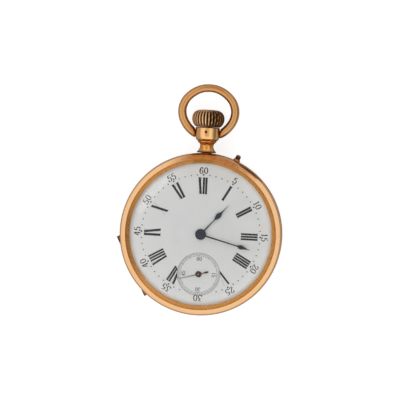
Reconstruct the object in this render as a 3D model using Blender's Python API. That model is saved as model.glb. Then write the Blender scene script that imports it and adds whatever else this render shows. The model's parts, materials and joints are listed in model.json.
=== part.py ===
# Open face pocket watch, built as its separate pieces.
# Lengths below are millimetres; every mesh is scaled to metres as it is made.
# Frame: origin on the flat of the back cover under the case centre,
# +Z out through the dial, +Y to twelve o'clock and the crown, +X to three o'clock.
import math
import bpy
import bmesh
from mathutils import Vector, Matrix

MM = 0.001

# ---------------------------------------------------------------- dimensions
CASE_R = 23.0            # bezel and case radius
CASE_IN = 19.8           # bore of the case middle
DIAL_R = 20.45
GLASS_R = 20.65
SEG = 36                 # facets round the large turned pieces
Z_BACK = 0.0             # resting face
Z_STEM = 5.0             # height of the stem, pendant and bow axis
BOW_PIVOT_Y = 28.0
# right half of the bow, from beside the head to the top: x, y, wire radius, heading in degrees
BOW_HALF = [(4.5, 29.08, 1.19, 38), (5.45, 29.93, 1.2, 47), (6.45, 31.2, 1.2, 58), (7.2, 32.7, 1.2, 73), (7.53, 34.4, 1.2, 90),
            (7.33, 36.2, 1.19, 107), (6.5, 38.0, 1.17, 124), (5.2, 39.4, 1.15, 139), (3.6, 40.5, 1.13, 153), (1.8, 41.18, 1.115, 167),
            (0.0, 41.39, 1.11, 180)]
HINGE_ANG = 241.7        # clock angle of the back hinge
HINGE_R = 21.3
HINGE_Z = 2.9
PUSH_ANG = 22.3          # clock angle of the hand-setting push piece
PUSH_TRAVEL = 0.9
PRY_ANG = 34.0           # clock angle of the flat for opening the bezel

CENTRE = (0.0, 0.0)
BARREL = (-6.5, 4.8332)
THIRD = (-3.31, -6.62)
FOURTH = (0.0, -11.3)
ESCAPE = (4.46, -12.5)
FORK = (6.4, -10.2)
BALANCE = (9.5, -6.5)
CROWNW = (0.0, 13.0)
MINUTEW = (0.0, 3.6)
SETW = (0.0, 8.1)
YOKE = (7.5, 12.5)
CLICK = (-14.0, 1.2)

HOUR_ANGLE = 40.6       # clock angles of the hands at rest
MINUTE_ANGLE = 104.05
SECOND_ANGLE = 253.25

# ---------------------------------------------------------------- start clean
for old in list(bpy.data.objects):
    bpy.data.objects.remove(old, do_unlink=True)
for old in list(bpy.data.meshes):
    bpy.data.meshes.remove(old)
for old in list(bpy.data.materials):
    bpy.data.materials.remove(old)
ROOM = bpy.context.scene.collection


# ---------------------------------------------------------------- materials
def material(name, rgb, metallic, roughness, transmission=0.0):
    m = bpy.data.materials.new(name)
    m.use_nodes = True
    b = m.node_tree.nodes["Principled BSDF"]
    b.inputs["Base Color"].default_value = (*rgb, 1.0)
    b.inputs["Metallic"].default_value = metallic
    b.inputs["Roughness"].default_value = roughness
    b.inputs["Transmission Weight"].default_value = transmission
    m.diffuse_color = (*rgb, 1.0)
    return m


GOLD = material("rose_gold", (0.83, 0.50, 0.25), 1.0, 0.25)
WORN = material("worn_gold", (0.55, 0.33, 0.17), 1.0, 0.38)
ENAMEL = material("white_enamel", (0.62, 0.63, 0.64), 0.0, 0.2)
BLUED = material("blued_steel", (0.02, 0.025, 0.05), 1.0, 0.3)
BROWNED = material("purple_steel", (0.10, 0.03, 0.02), 1.0, 0.35)
STEEL = material("polished_steel", (0.62, 0.63, 0.65), 1.0, 0.25)
GILT = material("gilt_brass", (0.80, 0.62, 0.32), 1.0, 0.35)
WHEEL = material("wheel_brass", (0.85, 0.66, 0.30), 1.0, 0.28)
RUBY = material("ruby", (0.55, 0.02, 0.05), 0.0, 0.1, 0.4)
GLASS = material("watch_glass", (1.0, 1.0, 1.0), 0.0, 0.02, 1.0)


# ---------------------------------------------------------------- helpers
def clock(angle, r):
    """Point at a clock angle (degrees clockwise from twelve) and radius."""
    a = math.radians(angle)
    return (r * math.sin(a), r * math.cos(a))


def turned(profile, seg=32, axis="Z"):
    """Solid of revolution from (radius, height) points."""
    bm = bmesh.new()
    vs = [bm.verts.new((r, 0.0, z)) for r, z in profile]
    es = [bm.edges.new((vs[i], vs[i + 1])) for i in range(len(vs) - 1)
          if profile[i][0] > 1e-9 or profile[i + 1][0] > 1e-9]
    if profile[0][0] > 1e-9:
        es.append(bm.edges.new((vs[-1], vs[0])))
    bmesh.ops.spin(bm, geom=vs + es, cent=(0, 0, 0), axis=(0, 0, 1), dvec=(0, 0, 0),
                   angle=2 * math.pi, steps=seg, use_merge=True, use_duplicate=False)
    bmesh.ops.remove_doubles(bm, verts=bm.verts[:], dist=1e-4)
    if axis == "Y":
        bmesh.ops.rotate(bm, verts=bm.verts[:], cent=(0, 0, 0), matrix=Matrix.Rotation(-math.pi / 2, 3, "X"))
    if axis == "X":
        bmesh.ops.rotate(bm, verts=bm.verts[:], cent=(0, 0, 0), matrix=Matrix.Rotation(math.pi / 2, 3, "Y"))
    return bm


def plate(outline, holes=(), z0=0.0, z1=1.0):
    """Flat plate from an outline, with holes, between two heights."""
    bm = bmesh.new()

    def ring(points):
        vs = [bm.verts.new((x, y, z0)) for x, y in points]
        return [bm.edges.new((vs[i], vs[(i + 1) % len(vs)])) for i in range(len(vs))]

    edges = ring(outline)
    for h in holes:
        edges += ring(h)
    bmesh.ops.triangle_fill(bm, use_beauty=True, use_dissolve=False, edges=edges, normal=(0, 0, 1))
    top = bmesh.ops.extrude_face_region(bm, geom=bm.faces[:])["geom"]
    bmesh.ops.translate(bm, verts=[g for g in top if isinstance(g, bmesh.types.BMVert)], vec=(0, 0, z1 - z0))
    return bm


def circle(cx, cy, r, n=12, start=0.0):
    return [(cx + r * math.cos(start + 2 * math.pi * i / n), cy + r * math.sin(start + 2 * math.pi * i / n))
            for i in range(n)]


def arc(cx, cy, r, a0, a1, n):
    """Points along an arc; angles in degrees counter-clockwise from +X."""
    return [(cx + r * math.cos(math.radians(a0 + (a1 - a0) * i / n)),
             cy + r * math.sin(math.radians(a0 + (a1 - a0) * i / n))) for i in range(n + 1)]


def capsule(p, q, r, n=6):
    """Outline of a bar with round ends from p to q."""
    a = math.degrees(math.atan2(q[1] - p[1], q[0] - p[0]))
    return arc(q[0], q[1], r, a - 90, a + 90, n) + arc(p[0], p[1], r, a + 90, a + 270, n)


def taper_bar(p, q, rp, rq, n=6):
    a = math.degrees(math.atan2(q[1] - p[1], q[0] - p[0]))
    return arc(q[0], q[1], rq, a - 90, a + 90, n) + arc(p[0], p[1], rp, a + 90, a + 270, n)


def gear(n, root, tip, phase=0.0, wide=0.34, flat=0.0):
    """Toothed outline: wide and flat are half widths at root and tip, in pitches."""
    p = 2 * math.pi / n
    pts = []
    for i in range(n):
        a = phase + i * p
        pts.append((root * math.cos(a - wide * p), root * math.sin(a - wide * p)))
        if flat > 0:
            pts.append((tip * math.cos(a - flat * p), tip * math.sin(a - flat * p)))
            pts.append((tip * math.cos(a + flat * p), tip * math.sin(a + flat * p)))
        else:
            pts.append((tip * math.cos(a), tip * math.sin(a)))
        pts.append((root * math.cos(a + wide * p), root * math.sin(a + wide * p)))
    return pts


def pointed(n, root, tip, phase, lean=0.0):
    """Plain pointed teeth; lean moves the tips round, for a ratchet."""
    p = 2 * math.pi / n
    pts = []
    for i in range(n):
        a = phase + i * p
        pts.append((tip * math.cos(a + lean * p), tip * math.sin(a + lean * p)))
        pts.append((root * math.cos(a + 0.5 * p), root * math.sin(a + 0.5 * p)))
    return pts


def wheel_teeth(n, m, phase):
    r = n * m / 2
    return pointed(n, r - 1.2 * m, r + 1.0 * m, phase)


def pinion_leaves(n, m, phase):
    r = n * m / 2
    return gear(n, r - 1.3 * m, r + 0.75 * m, phase, 0.24, 0.05)


def along(p, q):
    return math.atan2(q[1] - p[1], q[0] - p[0])


def mesh_phase(pa, na, phase_a, pb, nb):
    """Phase of gear b so that it meshes with gear a."""
    phi = along(pa, pb)
    da = (phi - phase_a) / (2 * math.pi / na)
    da -= math.floor(da)
    return phi + math.pi - (0.5 - da) * 2 * math.pi / nb


def empty(name, loc):
    e = bpy.data.objects.new(name, None)
    e.empty_display_size = 0.002
    e.location = [c * MM for c in loc]
    ROOM.objects.link(e)
    return e


AXES = {}


def add(name, bm, mat=None, origin=(0, 0, 0), local=False, on=None, sharp=32.0, cutter=False):
    """Makes the object. Its origin is on its joint's axis; local says that the
    mesh is already drawn about that point."""
    bmesh.ops.recalc_face_normals(bm, faces=bm.faces[:])
    me = bpy.data.meshes.new(name)
    bm.to_mesh(me)
    bm.free()
    o = Vector(origin)
    if not local:
        me.transform(Matrix.Translation(-o))
    me.transform(Matrix.Scale(MM, 4))
    me.shade_smooth()
    me.set_sharp_from_angle(angle=math.radians(sharp))
    ob = bpy.data.objects.new(name, me)
    ROOM.objects.link(ob)
    if mat:
        me.materials.append(mat)
    if on:
        if on not in AXES:
            AXES[on] = empty("axis_" + on, origin)
        ob.parent = AXES[on]
        ob.location = (o - Vector(origin) if False else o) * MM - AXES[on].location
    else:
        ob.location = o * MM
    if cutter:
        ob.hide_render = True
        ob.display_type = "WIRE"
    return ob


COUNT = [0]


def tool(bm):
    COUNT[0] += 1
    return add("cutter_%03d" % COUNT[0], bm, cutter=True)


def boolean(ob, bm, op):
    m = ob.modifiers.new(op.lower() + "_%d" % (len(ob.modifiers) + 1), "BOOLEAN")
    m.operation = op
    m.solver = "EXACT"
    m.object = tool(bm)


def cut(ob, bm):
    boolean(ob, bm, "DIFFERENCE")


def fuse(ob, bm):
    boolean(ob, bm, "UNION")


def moved(bm, vec):
    bmesh.ops.translate(bm, verts=bm.verts[:], vec=vec)
    return bm


def rod(p, r, z0, z1, n=12):
    return moved(turned([(0, z0), (r, z0), (r, z1), (0, z1)], n), (p[0], p[1], 0))


def box(x0, x1, y0, y1, z0, z1):
    return plate([(x0, y0), (x1, y0), (x1, y1), (x0, y1)], (), z0, z1)


# directions at the back hinge: outward and along the tube
HN = Vector((*clock(HINGE_ANG, 1.0), 0.0))
HT = Vector((-HN.y, HN.x, 0.0))
HP = HN * HINGE_R + Vector((0, 0, HINGE_Z))


def on_hinge(bm):
    """Carries a shape drawn with local X outward, Y up and Z along the tube."""
    m = Matrix(((HN.x, 0, HT.x, 0), (HN.y, 0, HT.y, 0), (0, 1, 0, 0), (0, 0, 0, 1)))
    bmesh.ops.transform(bm, verts=bm.verts[:], matrix=m)
    bmesh.ops.recalc_face_normals(bm, faces=bm.faces[:])
    return bm


def hinge_tube(t0, t1, r, n=12):
    return on_hinge(plate(circle(HINGE_R, HINGE_Z, r, n), (), t0, t1))


def radial(bm, angle, z):
    """Carries a shape turned about Z so that Z points out along a clock angle."""
    bmesh.ops.rotate(bm, verts=bm.verts[:], cent=(0, 0, 0), matrix=Matrix.Rotation(-math.pi / 2, 3, "X"))
    bmesh.ops.rotate(bm, verts=bm.verts[:], cent=(0, 0, 0), matrix=Matrix.Rotation(-math.radians(angle), 3, "Z"))
    return moved(bm, (0, 0, z))


def curve(rows, n):
    """n + 1 rows along a smooth line through the given rows of numbers."""
    out = []
    for i in range(n + 1):
        u = i * (len(rows) - 1) / n
        k = min(int(u), len(rows) - 2)
        t = u - k
        four = rows[max(k - 1, 0)], rows[k], rows[k + 1], rows[min(k + 2, len(rows) - 1)]
        out.append(tuple(0.5 * (2 * b + (c - a) * t + (2 * a - 5 * b + 4 * c - d) * t * t + (3 * b - a - 3 * c + d) * t ** 3)
                         for a, b, c, d in zip(*four)))
    return out


def swept(rows, sides=10):
    """Wire in the XY plane through rows of x, y, radius and heading, closed at both ends."""
    bm = bmesh.new()
    rings = []
    for x, y, r, heading in rows:
        a = math.radians(heading)
        side = Vector((-math.sin(a), math.cos(a), 0))
        rings.append([bm.verts.new(Vector((x, y, 0)) + side * r * math.cos(2 * math.pi * k / sides)
                                   + Vector((0, 0, 1)) * r * math.sin(2 * math.pi * k / sides))
                      for k in range(sides)])
    for a, b in zip(rings, rings[1:]):
        for k in range(sides):
            bm.faces.new((a[k], a[(k + 1) % sides], b[(k + 1) % sides], b[k]))
    bm.faces.new(rings[0])
    bm.faces.new(rings[-1])
    return bm


def spiral(r0, r1, turns, per_turn, thick, z0, z1, start=0.0):
    """Coiled ribbon of rectangular section."""
    n = int(turns * per_turn)
    inner, outer = [], []
    for i in range(n + 1):
        a = start + 2 * math.pi * i / per_turn
        r = r0 + (r1 - r0) * i / n
        inner.append(((r - thick / 2) * math.cos(a), (r - thick / 2) * math.sin(a)))
        outer.append(((r + thick / 2) * math.cos(a), (r + thick / 2) * math.sin(a)))
    bm = bmesh.new()
    rows = [[bm.verts.new((p[0], p[1], z0)), bm.verts.new((q[0], q[1], z0)),
             bm.verts.new((q[0], q[1], z1)), bm.verts.new((p[0], p[1], z1))] for p, q in zip(inner, outer)]
    for a, b in zip(rows, rows[1:]):
        for k in range(4):
            bm.faces.new((a[k], a[(k + 1) % 4], b[(k + 1) % 4], b[k]))
    bm.faces.new(rows[0])
    bm.faces.new(rows[-1])
    return bm


# ================================================================ the case
case = add("case_middle", turned([
    (CASE_IN, 3.35), (20.7, 3.35), (20.7, 3.0), (22.3, 3.0), (22.9, 4.4), (22.95, 6.6), (22.3, 8.6), (21.2, 8.6), (21.2, 9.05), (20.6, 9.05), (20.6, 8.22), (CASE_IN, 8.22)], SEG), GOLD)
cut(case, on_hinge(plate([(20.5, 2.0), (24.5, 2.0), (24.5, 3.65), (20.5, 3.65)], (), -5.95, 5.95)))
EAR = [(20.7, 2.9), (20.88, 2.48), (21.3, 2.3), (21.9, 2.4), (22.5, 2.7), (22.8, 3.05), (22.5, 3.38), (21.9, 3.5), (21.3, 3.5), (20.88, 3.32)]
fuse(case, on_hinge(plate(EAR, (), -9.4, -6.0)))
fuse(case, on_hinge(plate(EAR, (), 6.0, 9.4)))
cut(case, hinge_tube(-10.5, 10.5, 0.3, 10))
cut(case, turned([(0, 18.5), (1.56, 18.5), (1.56, 24.5), (0, 24.5)], 18, "Y"))
case.modifiers[-1].object.location.z = Z_STEM * MM
cut(case, radial(turned([(0, 18.0), (1.03, 18.0), (1.03, 25.0), (0, 25.0)], 14), PUSH_ANG, Z_STEM))

bezel = add("bezel", turned([
    (21.3, 8.7), (22.7, 8.7), (CASE_R, 9.4), (22.8, 10.3), (22.2, 11.05), (21.3, 11.3), (20.15, 10.45),
    (20.15, 10.32), (20.72, 10.32), (20.72, 9.6), (20.15, 9.55), (20.15, 9.3), (20.7, 9.3), (20.7, 9.12),
    (21.3, 9.12)], SEG), GOLD, on="bezel")
pry = box(-9.0, 9.0, 22.08, 26.0, 8.0, 12.0)
bmesh.ops.rotate(pry, verts=pry.verts[:], cent=(0, 0, 0), matrix=Matrix.Rotation(-math.radians(PRY_ANG), 3, "Z"))
cut(bezel, pry)

add("crystal", turned([
    (0, 12.4), (9.0, 12.16), (15.0, 11.56), (20.08, 10.27), (GLASS_R, 10.27), (GLASS_R, 9.66), (19.5, 9.66),
    (15.0, 10.8), (9.0, 11.38), (0, 11.62)], SEG), GLASS, on="bezel")

# back cover with its two hinge knuckles
back = add("back_cover", turned([
    (0, 0), (13.0, 0), (18.0, 0.45), (21.4, 1.65), (22.6, 2.9), (22.05, 2.9), (21.0, 2.0), (18.0, 1.02),
    (13.0, 0.55), (0, 0.55)], SEG), GOLD, origin=tuple(HP), on="back")
cut(back, on_hinge(plate([(20.55, -1.0), (24.0, -1.0), (24.0, 4.0), (20.55, 4.0)], (), -12.0, 12.0)))
LUG = [(19.9, 0.98), (20.6, 1.17), (21.7, 2.35), (21.9, 2.9), (20.72, 2.9), (20.43, 1.97), (19.9, 1.5)]
for t0, t1 in ((-5.9, -2.0), (2.0, 5.9)):
    fuse(back, on_hinge(plate(LUG, (), t0, t1)))
    fuse(back, hinge_tube(t0, t1, 0.6))
cut(back, hinge_tube(-10.5, 10.5, 0.3, 10))

# inner dust cover on the same hinge
cuv = add("cuvette", turned([
    (0, 1.15), (17.0, 1.38), (19.2, 1.72), (20.1, 2.35), (20.3, 2.85), (19.88, 2.85), (19.7, 2.5),
    (18.95, 2.07), (17.0, 1.77), (0, 1.55)], SEG), WORN, origin=tuple(HP), on="cuvette")
fuse(cuv, on_hinge(plate([(19.95, 2.3), (20.3, 2.32), (21.3, 2.31), (21.3, 2.85), (19.95, 2.85)], (), -1.9, 1.9)))
fuse(cuv, hinge_tube(-1.9, 1.9, 0.6))
cut(cuv, hinge_tube(-10.5, 10.5, 0.3, 10))

add("back_hinge_pin", hinge_tube(-9.35, 9.35, 0.25, 10), STEEL)

# pendant: neck, collar and head, bored for the stem and the bow's ends
pend = add("pendant", turned([
    (0.62, 20.2), (1.48, 20.2), (1.48, 23.02), (2.8, 23.02), (2.35, 23.75), (1.98, 24.4), (1.88, 25.1), (2.1, 25.6),
    (2.62, 26.05), (2.68, 26.35), (3.1, 26.65), (3.4, 27.2), (3.45, 28.0), (3.42, 29.4), (2.95, 30.22), (0.62, 30.22)], 18, "Y"), GOLD, origin=(0, 0, Z_STEM), local=True)
for s in (1, -1):
    hole = turned([(0, 2.45), (0.68, 2.45), (0.68, 4.2), (0, 4.2)], 12, "X")
    if s < 0:
        bmesh.ops.rotate(hole, verts=hole.verts[:], cent=(0, 0, 0), matrix=Matrix.Rotation(math.pi, 3, "Z"))
    cut(pend, moved(hole, (0, BOW_PIVOT_Y, Z_STEM)))

# bow: a round wire, its ends turned in to pivot in the head
right = [(2.6, BOW_PIVOT_Y, 0.55, 0), (3.6, BOW_PIVOT_Y, 0.55, 0), (3.6, 28.28, 1.0, 0), (4.02, 28.66, 1.14, 22)] + curve(BOW_HALF, 13)
left = [(-x, y, r, 360 - h) for x, y, r, h in reversed(right[:-1])]
add("bow", swept(right + left, 8), GOLD, origin=(0, BOW_PIVOT_Y, 0), on="bow")
AXES["bow"].location.z = Z_STEM * MM
bpy.data.objects["bow"].location = (0, 0, 0)

# crown with flutes
FLUTES = 24
prof = [(0, 35.24), (3.2, 35.02), (4.08, 34.3), (4.6, 32.8), (4.33, 31.4), (3.4, 30.34), (0.56, 30.34), (0.56, 33.0),
        (0, 33.0)]
cr = turned(prof, 2 * FLUTES, "Z")
for v in cr.verts:
    r = math.hypot(v.co.x, v.co.y)
    if r > 3.5:
        k = round(math.atan2(v.co.y, v.co.x) / (math.pi / FLUTES)) % 2
        if k:
            f = (r - 0.28) / r
            v.co.x *= f
            v.co.y *= f
bmesh.ops.rotate(cr, verts=cr.verts[:], cent=(0, 0, 0), matrix=Matrix.Rotation(-math.pi / 2, 3, "X"))
add("crown", cr, WORN, origin=(0, 0, Z_STEM), local=True, on="stem", sharp=50)

add("winding_stem", turned([(0, 10.1), (0.3, 10.1), (0.3, 10.8), (0.5, 10.9), (0.5, 32.9), (0, 32.9)], 10, "Y"),
    STEEL, origin=(0, 0, Z_STEM), local=True, on="stem")
wp = plate(pointed(13, 1.45, 1.93, 0), [circle(0, 0, 0.55, 10)], 16.6, 18.4)
bmesh.ops.rotate(wp, verts=wp.verts[:], cent=(0, 0, 0), matrix=Matrix.Rotation(-math.pi / 2, 3, "X"))
add("winding_pinion", wp, STEEL, origin=(0, 0, Z_STEM), local=True, on="stem")
add("clutch_wheel", turned([(0.55, 11.0), (1.6, 11.0), (1.6, 11.74), (1.08, 11.74), (1.08, 12.26),
                            (1.6, 12.26), (1.6, 13.0), (0.55, 13.0)], 12, "Y"),
    STEEL, origin=(0, 0, Z_STEM), local=True, on="clutch")

# push piece that engages hand setting, in its tube through the band
add("push_piece", radial(turned([(0, 17.95), (0.45, 17.95), (0.45, 20.3), (0.9, 20.3), (0.9, 20.95), (0.72, 21.0),
                                 (0.72, 24.2), (0.5, 24.6), (0, 24.7)], 12), PUSH_ANG, Z_STEM),
    WORN, origin=(*clock(PUSH_ANG, 22.0), Z_STEM), on="push")
add("push_piece_tube", radial(turned([(0.78, 21.1), (0.97, 21.1), (0.97, 23.35), (0.78, 23.35)], 12), PUSH_ANG, Z_STEM),
    WORN)

# yoke: cam arm beside the push piece, finger in the clutch groove
yk = plate([(1.2, 11.86), (2.4, 11.8), (7.2, 11.75), (8.25, 12.2), (8.25, 12.9), (7.9, 13.3), (6.25, 14.9), (6.25, 17.0),
            (5.5, 17.0), (5.5, 14.3), (6.75, 12.95), (2.4, 12.2), (1.2, 12.14)],
           [circle(YOKE[0], YOKE[1], 0.45, 10)], 4.8, 5.2)
add("yoke", yk, STEEL, origin=(*YOKE, Z_STEM), on="yoke")
add("yoke_spring", plate([(2.9, 10.75), (10.2, 10.55), (11.5, 11.9), (11.5, 13.0), (10.4, 13.0), (9.7, 11.0), (2.9, 11.0)],
                         [circle(10.95, 12.45, 0.3, 8)], 4.85, 5.15), STEEL)

# ================================================================ the dial side
dial = add("dial", turned([(1.2, 8.3), (DIAL_R, 8.3), (DIAL_R, 9.05), (20.3, 9.2), (1.2, 9.2)], SEG), ENAMEL)
cut(dial, rod(FOURTH, 5.95, 8.95, 9.8, 24))
cut(dial, rod(FOURTH, 0.45, 8.0, 9.8, 12))


def along_hand(points, angle):
    """Turns an outline drawn towards twelve to a clock angle."""
    a = -math.radians(angle)
    return [(x * math.cos(a) - y * math.sin(a), x * math.sin(a) + y * math.cos(a)) for x, y in points]


def mirrored(half):
    """Outline from its right half, listed from the tail to the tip."""
    return half + [(-x, y) for x, y in reversed(half) if x > 1e-9]


hour_half = [(0.9, -1.25)] + [(1.54 * math.cos(math.radians(a)), 1.54 * math.sin(math.radians(a))) for a in
                              (-40, -15, 10, 35, 60)] + \
            [(0.2, 1.55), (0.14, 5.6), (0.32, 6.0), (0.62, 6.8), (0.685, 7.3), (0.55, 7.9), (0.28, 8.5), (0.13, 9.3), (0.0, 11.4)]
add("hour_hand", plate(along_hand(mirrored(hour_half), HOUR_ANGLE), [circle(0, 0, 0.98, 12)], 9.5, 9.75),
    BLUED, origin=(0, 0, 9.6), on="hour")
minute_half = [(0.5, -0.9), (0.95, -0.4), (1.02, 0.1), (0.8, 0.62), (0.21, 1.0), (0.17, 10.8), (0.4, 11.2), (0.6, 11.8),
               (0.48, 12.5), (0.22, 13.35), (0.0, 14.7)]
add("minute_hand", plate(along_hand(mirrored(minute_half), MINUTE_ANGLE), [circle(0, 0, 0.5, 12)], 10.0, 10.22),
    BLUED, origin=(0, 0, 10.1), on="minute")
sec_half = [(0.0, -2.9), (0.22, -2.75), (0.28, -2.3), (0.2, -1.85), (0.1, -1.7), (0.1, -0.9), (0.6, -0.65), (0.88, -0.2),
            (0.88, 0.25), (0.6, 0.65), (0.12, 0.9), (0.08, 4.2), (0.0, 5.6)]
sh = plate(along_hand(mirrored(sec_half), SECOND_ANGLE)[:], [circle(0, 0, 0.25, 8)], 9.05, 9.25)
moved(sh, (FOURTH[0], FOURTH[1], 0))
add("seconds_hand", sh, BROWNED, origin=(*FOURTH, 9.15), on="fourth")

# motion work under the dial
ph_cannon = along(CENTRE, MINUTEW)
ph_minute = mesh_phase(CENTRE, 12, ph_cannon, MINUTEW, 36)
ph_set = mesh_phase(MINUTEW, 36, ph_minute, SETW, 24)
ph_mpin = along(MINUTEW, CENTRE)
ph_hour = mesh_phase(MINUTEW, 10, ph_mpin, CENTRE, 40)
can = add("cannon_pinion", turned([(0.35, 7.36), (0.6, 7.36), (0.6, 9.85), (0.45, 9.9), (0.45, 10.3), (0.35, 10.3)], 10),
          STEEL, origin=(0, 0, 8), on="minute")
fuse(can, plate(pinion_leaves(12, 0.15, ph_cannon), [circle(0, 0, 0.35, 10)], 7.05, 7.4))
mw = add("minute_wheel", moved(plate(wheel_teeth(36, 0.15, ph_minute), [circle(0, 0, 0.4, 10)], 7.06, 7.3), (*MINUTEW, 0)),
         WHEEL, origin=(*MINUTEW, 7.1), on="minute_wheel")
fuse(mw, moved(plate(pinion_leaves(10, 0.144, ph_mpin), [circle(0, 0, 0.4, 10)], 7.25, 7.9), (*MINUTEW, 0)))
hw = add("hour_wheel", plate(wheel_teeth(40, 0.144, ph_hour), [circle(0, 0, 0.7, 12)], 7.5, 7.75), WHEEL,
         origin=(0, 0, 7.6), on="hour")
fuse(hw, plate(circle(0, 0, 0.95, 12), [circle(0, 0, 0.7, 12)], 7.7, 9.72))
add("setting_wheel", moved(plate(wheel_teeth(24, 0.15, ph_set), [circle(0, 0, 0.42, 10)], 7.06, 7.3), (*SETW, 0)),
    STEEL, origin=(*SETW, 7.1), on="setting")

# ================================================================ plates
CASE_SCREWS = (clock(75, 18.7), clock(285, 18.7))
BB_PILLARS = ((-15.2, -0.6), (11.5, 9.5), (-5.5, 14.2))
TB_PILLARS = ((-14.2, -7.3), (-5.0, -15.2))
COCK_ANG = math.degrees(math.atan2(BALANCE[0], BALANCE[1]))
COCK_SCREW = clock(COCK_ANG, 18.2)
PC_FOOT = (8.9, -13.4)

mp = add("mainplate", plate(circle(0, 0, 19.6, SEG), [
    circle(0, 0, 0.55, 10), circle(*THIRD, 0.2, 6), circle(*FOURTH, 0.35, 8), circle(*ESCAPE, 0.2, 6),
    circle(*FORK, 0.2, 6), circle(*BALANCE, 0.2, 6), circle(*BARREL, 0.92, 12)], 6.0, 8.2), GILT)
cut(mp, plate(capsule((0, 0), (0, 7.2), 3.3, 8), (), 7.0, 9.0))
cut(mp, box(-2.15, 2.15, 10.25, 21.0, 5.0, 7.2))
for p in CASE_SCREWS:
    fuse(mp, rod(p, 0.85, 3.38, 6.5, 10))
    cut(mp, rod(p, 0.46, 3.0, 7.4, 8))
fuse(mp, rod(YOKE, 0.4, 4.6, 6.5, 10))
fuse(mp, rod(MINUTEW, 0.34, 6.8, 8.0, 10))
fuse(mp, rod(SETW, 0.34, 6.8, 7.6, 10))

# barrel bridge: half disc on three pillars, sunk for the winding wheels and the click
end = clock(62, 17.2)
outline = arc(0, 0, 17.2, 90 - 62, 180 + 7.3, 20) + [(3.0, -2.2), (4.2, -1.0)]
bb = add("barrel_bridge", plate(outline, [
    circle(0, 0, 0.3, 8), circle(*BARREL, 0.9, 12), circle(*CROWNW, 0.45, 8, 0.2)], 2.15, 3.3), GILT)
for p in BB_PILLARS:
    fuse(bb, rod(p, 1.3, 3.2, 5.95, 10))
cut(bb, moved(plate(circle(0, 0, 4.45, 20, 0.11), [circle(0, 0, 3.6, 16, 0.07)], 1.0, 3.06), (*CROWNW, 0)))
cut(bb, box(-2.3, 2.3, 16.0, 20.0, 1.5, 4.0))
cut(bb, rod(CROWNW, 5.15, 1.4, 2.75, 22))
cut(bb, rod(BARREL, 6.4, 1.5, 2.79, 24))
cut(bb, plate(taper_bar(CLICK, (-12.2, 2.1), 1.15, 1.2, 4), (), 1.3, 2.72))
cut(bb, plate(capsule((-13.6, 7.2), (-14.4, 3.0), 1.0, 4), (), 1.2, 2.7))
fuse(bb, rod(CLICK, 0.35, 2.2, 3.0, 10))
for p in BB_PILLARS[:2]:
    cut(bb, rod(p, 0.5, 1.1, 7.0, 8))
    cut(bb, rod(p, 1.1, 1.45, 2.6, 10))

# train bridge over the third, fourth and escape wheels, cut round the balance
outline = arc(0, 0, 17.2, 188.2, 291.0, 16) + arc(BALANCE[0], BALANCE[1], 6.9, 236.0, 143.3, 8)
tb = add("train_bridge", plate(outline, [
    circle(*THIRD, 0.2, 6), circle(*FOURTH, 0.2, 6), circle(*ESCAPE, 0.2, 6)], 2.15, 3.3), GILT)
for p in TB_PILLARS:
    fuse(tb, rod(p, 1.1, 3.2, 5.95, 10))
    cut(tb, rod(p, 0.5, 1.1, 7.0, 8))
    cut(tb, rod(p, 1.1, 1.45, 2.6, 10))

# balance cock with a foot at the edge of the plate
u = 90 - COCK_ANG
foot = arc(0, 0, 18.9, u - 13, u + 13, 6) + arc(0, 0, 17.45, u + 13, u - 13, 6)
cock = arc(0, 0, 18.9, u - 13, u + 13, 6) + [clock(COCK_ANG - 10, 16.8)] + \
    arc(BALANCE[0], BALANCE[1], 1.9, u + 70, u + 290, 8) + [clock(COCK_ANG + 10, 16.8)]
bc = add("balance_cock", plate(cock, [circle(*BALANCE, 0.2, 8)], 2.15, 3.05), GILT)
fuse(bc, plate(foot, (), 2.9, 5.95))
cut(bc, rod(BALANCE, 0.85, 1.5, 2.5, 14))
cut(bc, rod(COCK_SCREW, 0.35, 1.5, 7.0, 8))
cut(bc, rod(COCK_SCREW, 0.66, 1.5, 2.6, 12))

pc = add("pallet_cock", plate(taper_bar(FORK, PC_FOOT, 0.75, 1.0), [circle(*FORK, 0.2, 8)], 4.5, 4.85), GILT)
fuse(pc, rod(PC_FOOT, 1.0, 4.6, 5.95, 14))
cut(pc, rod(PC_FOOT, 0.38, 4.0, 7.0, 8))


def screw(name, p, head, shank, z_under, z_end, deep=0.4, mat=STEEL):
    """Slotted screw with its head towards the back of the watch."""
    s = add(name, moved(turned([(0, z_under - deep), (head, z_under - deep), (head, z_under), (shank, z_under), (shank, z_end), (0, z_end)], 8), (p[0], p[1], 0)),
            mat, origin=(p[0], p[1], z_under))
    cut(s, box(p[0] - 0.12, p[0] + 0.12, p[1] - 3, p[1] + 3, z_under - deep - 1, z_under - deep + 0.18))
    return s


screw("barrel_bridge_screw_1", BB_PILLARS[0], 1.03, 0.45, 2.55, 5.9)
screw("barrel_bridge_screw_2", BB_PILLARS[1], 1.03, 0.45, 2.55, 5.9)
screw("train_bridge_screw_1", TB_PILLARS[0], 1.03, 0.45, 2.55, 5.9)
screw("train_bridge_screw_2", TB_PILLARS[1], 1.03, 0.45, 2.55, 5.9)
screw("balance_cock_screw", COCK_SCREW, 0.6, 0.3, 2.55, 5.9)
screw("pallet_cock_screw", PC_FOOT, 0.85, 0.33, 4.45, 5.9, 0.35)
screw("case_screw_1", CASE_SCREWS[0], 1.42, 0.4, 3.32, 7.3, 0.36)
screw("case_screw_2", CASE_SCREWS[1], 1.42, 0.4, 3.32, 7.3, 0.36)

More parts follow.
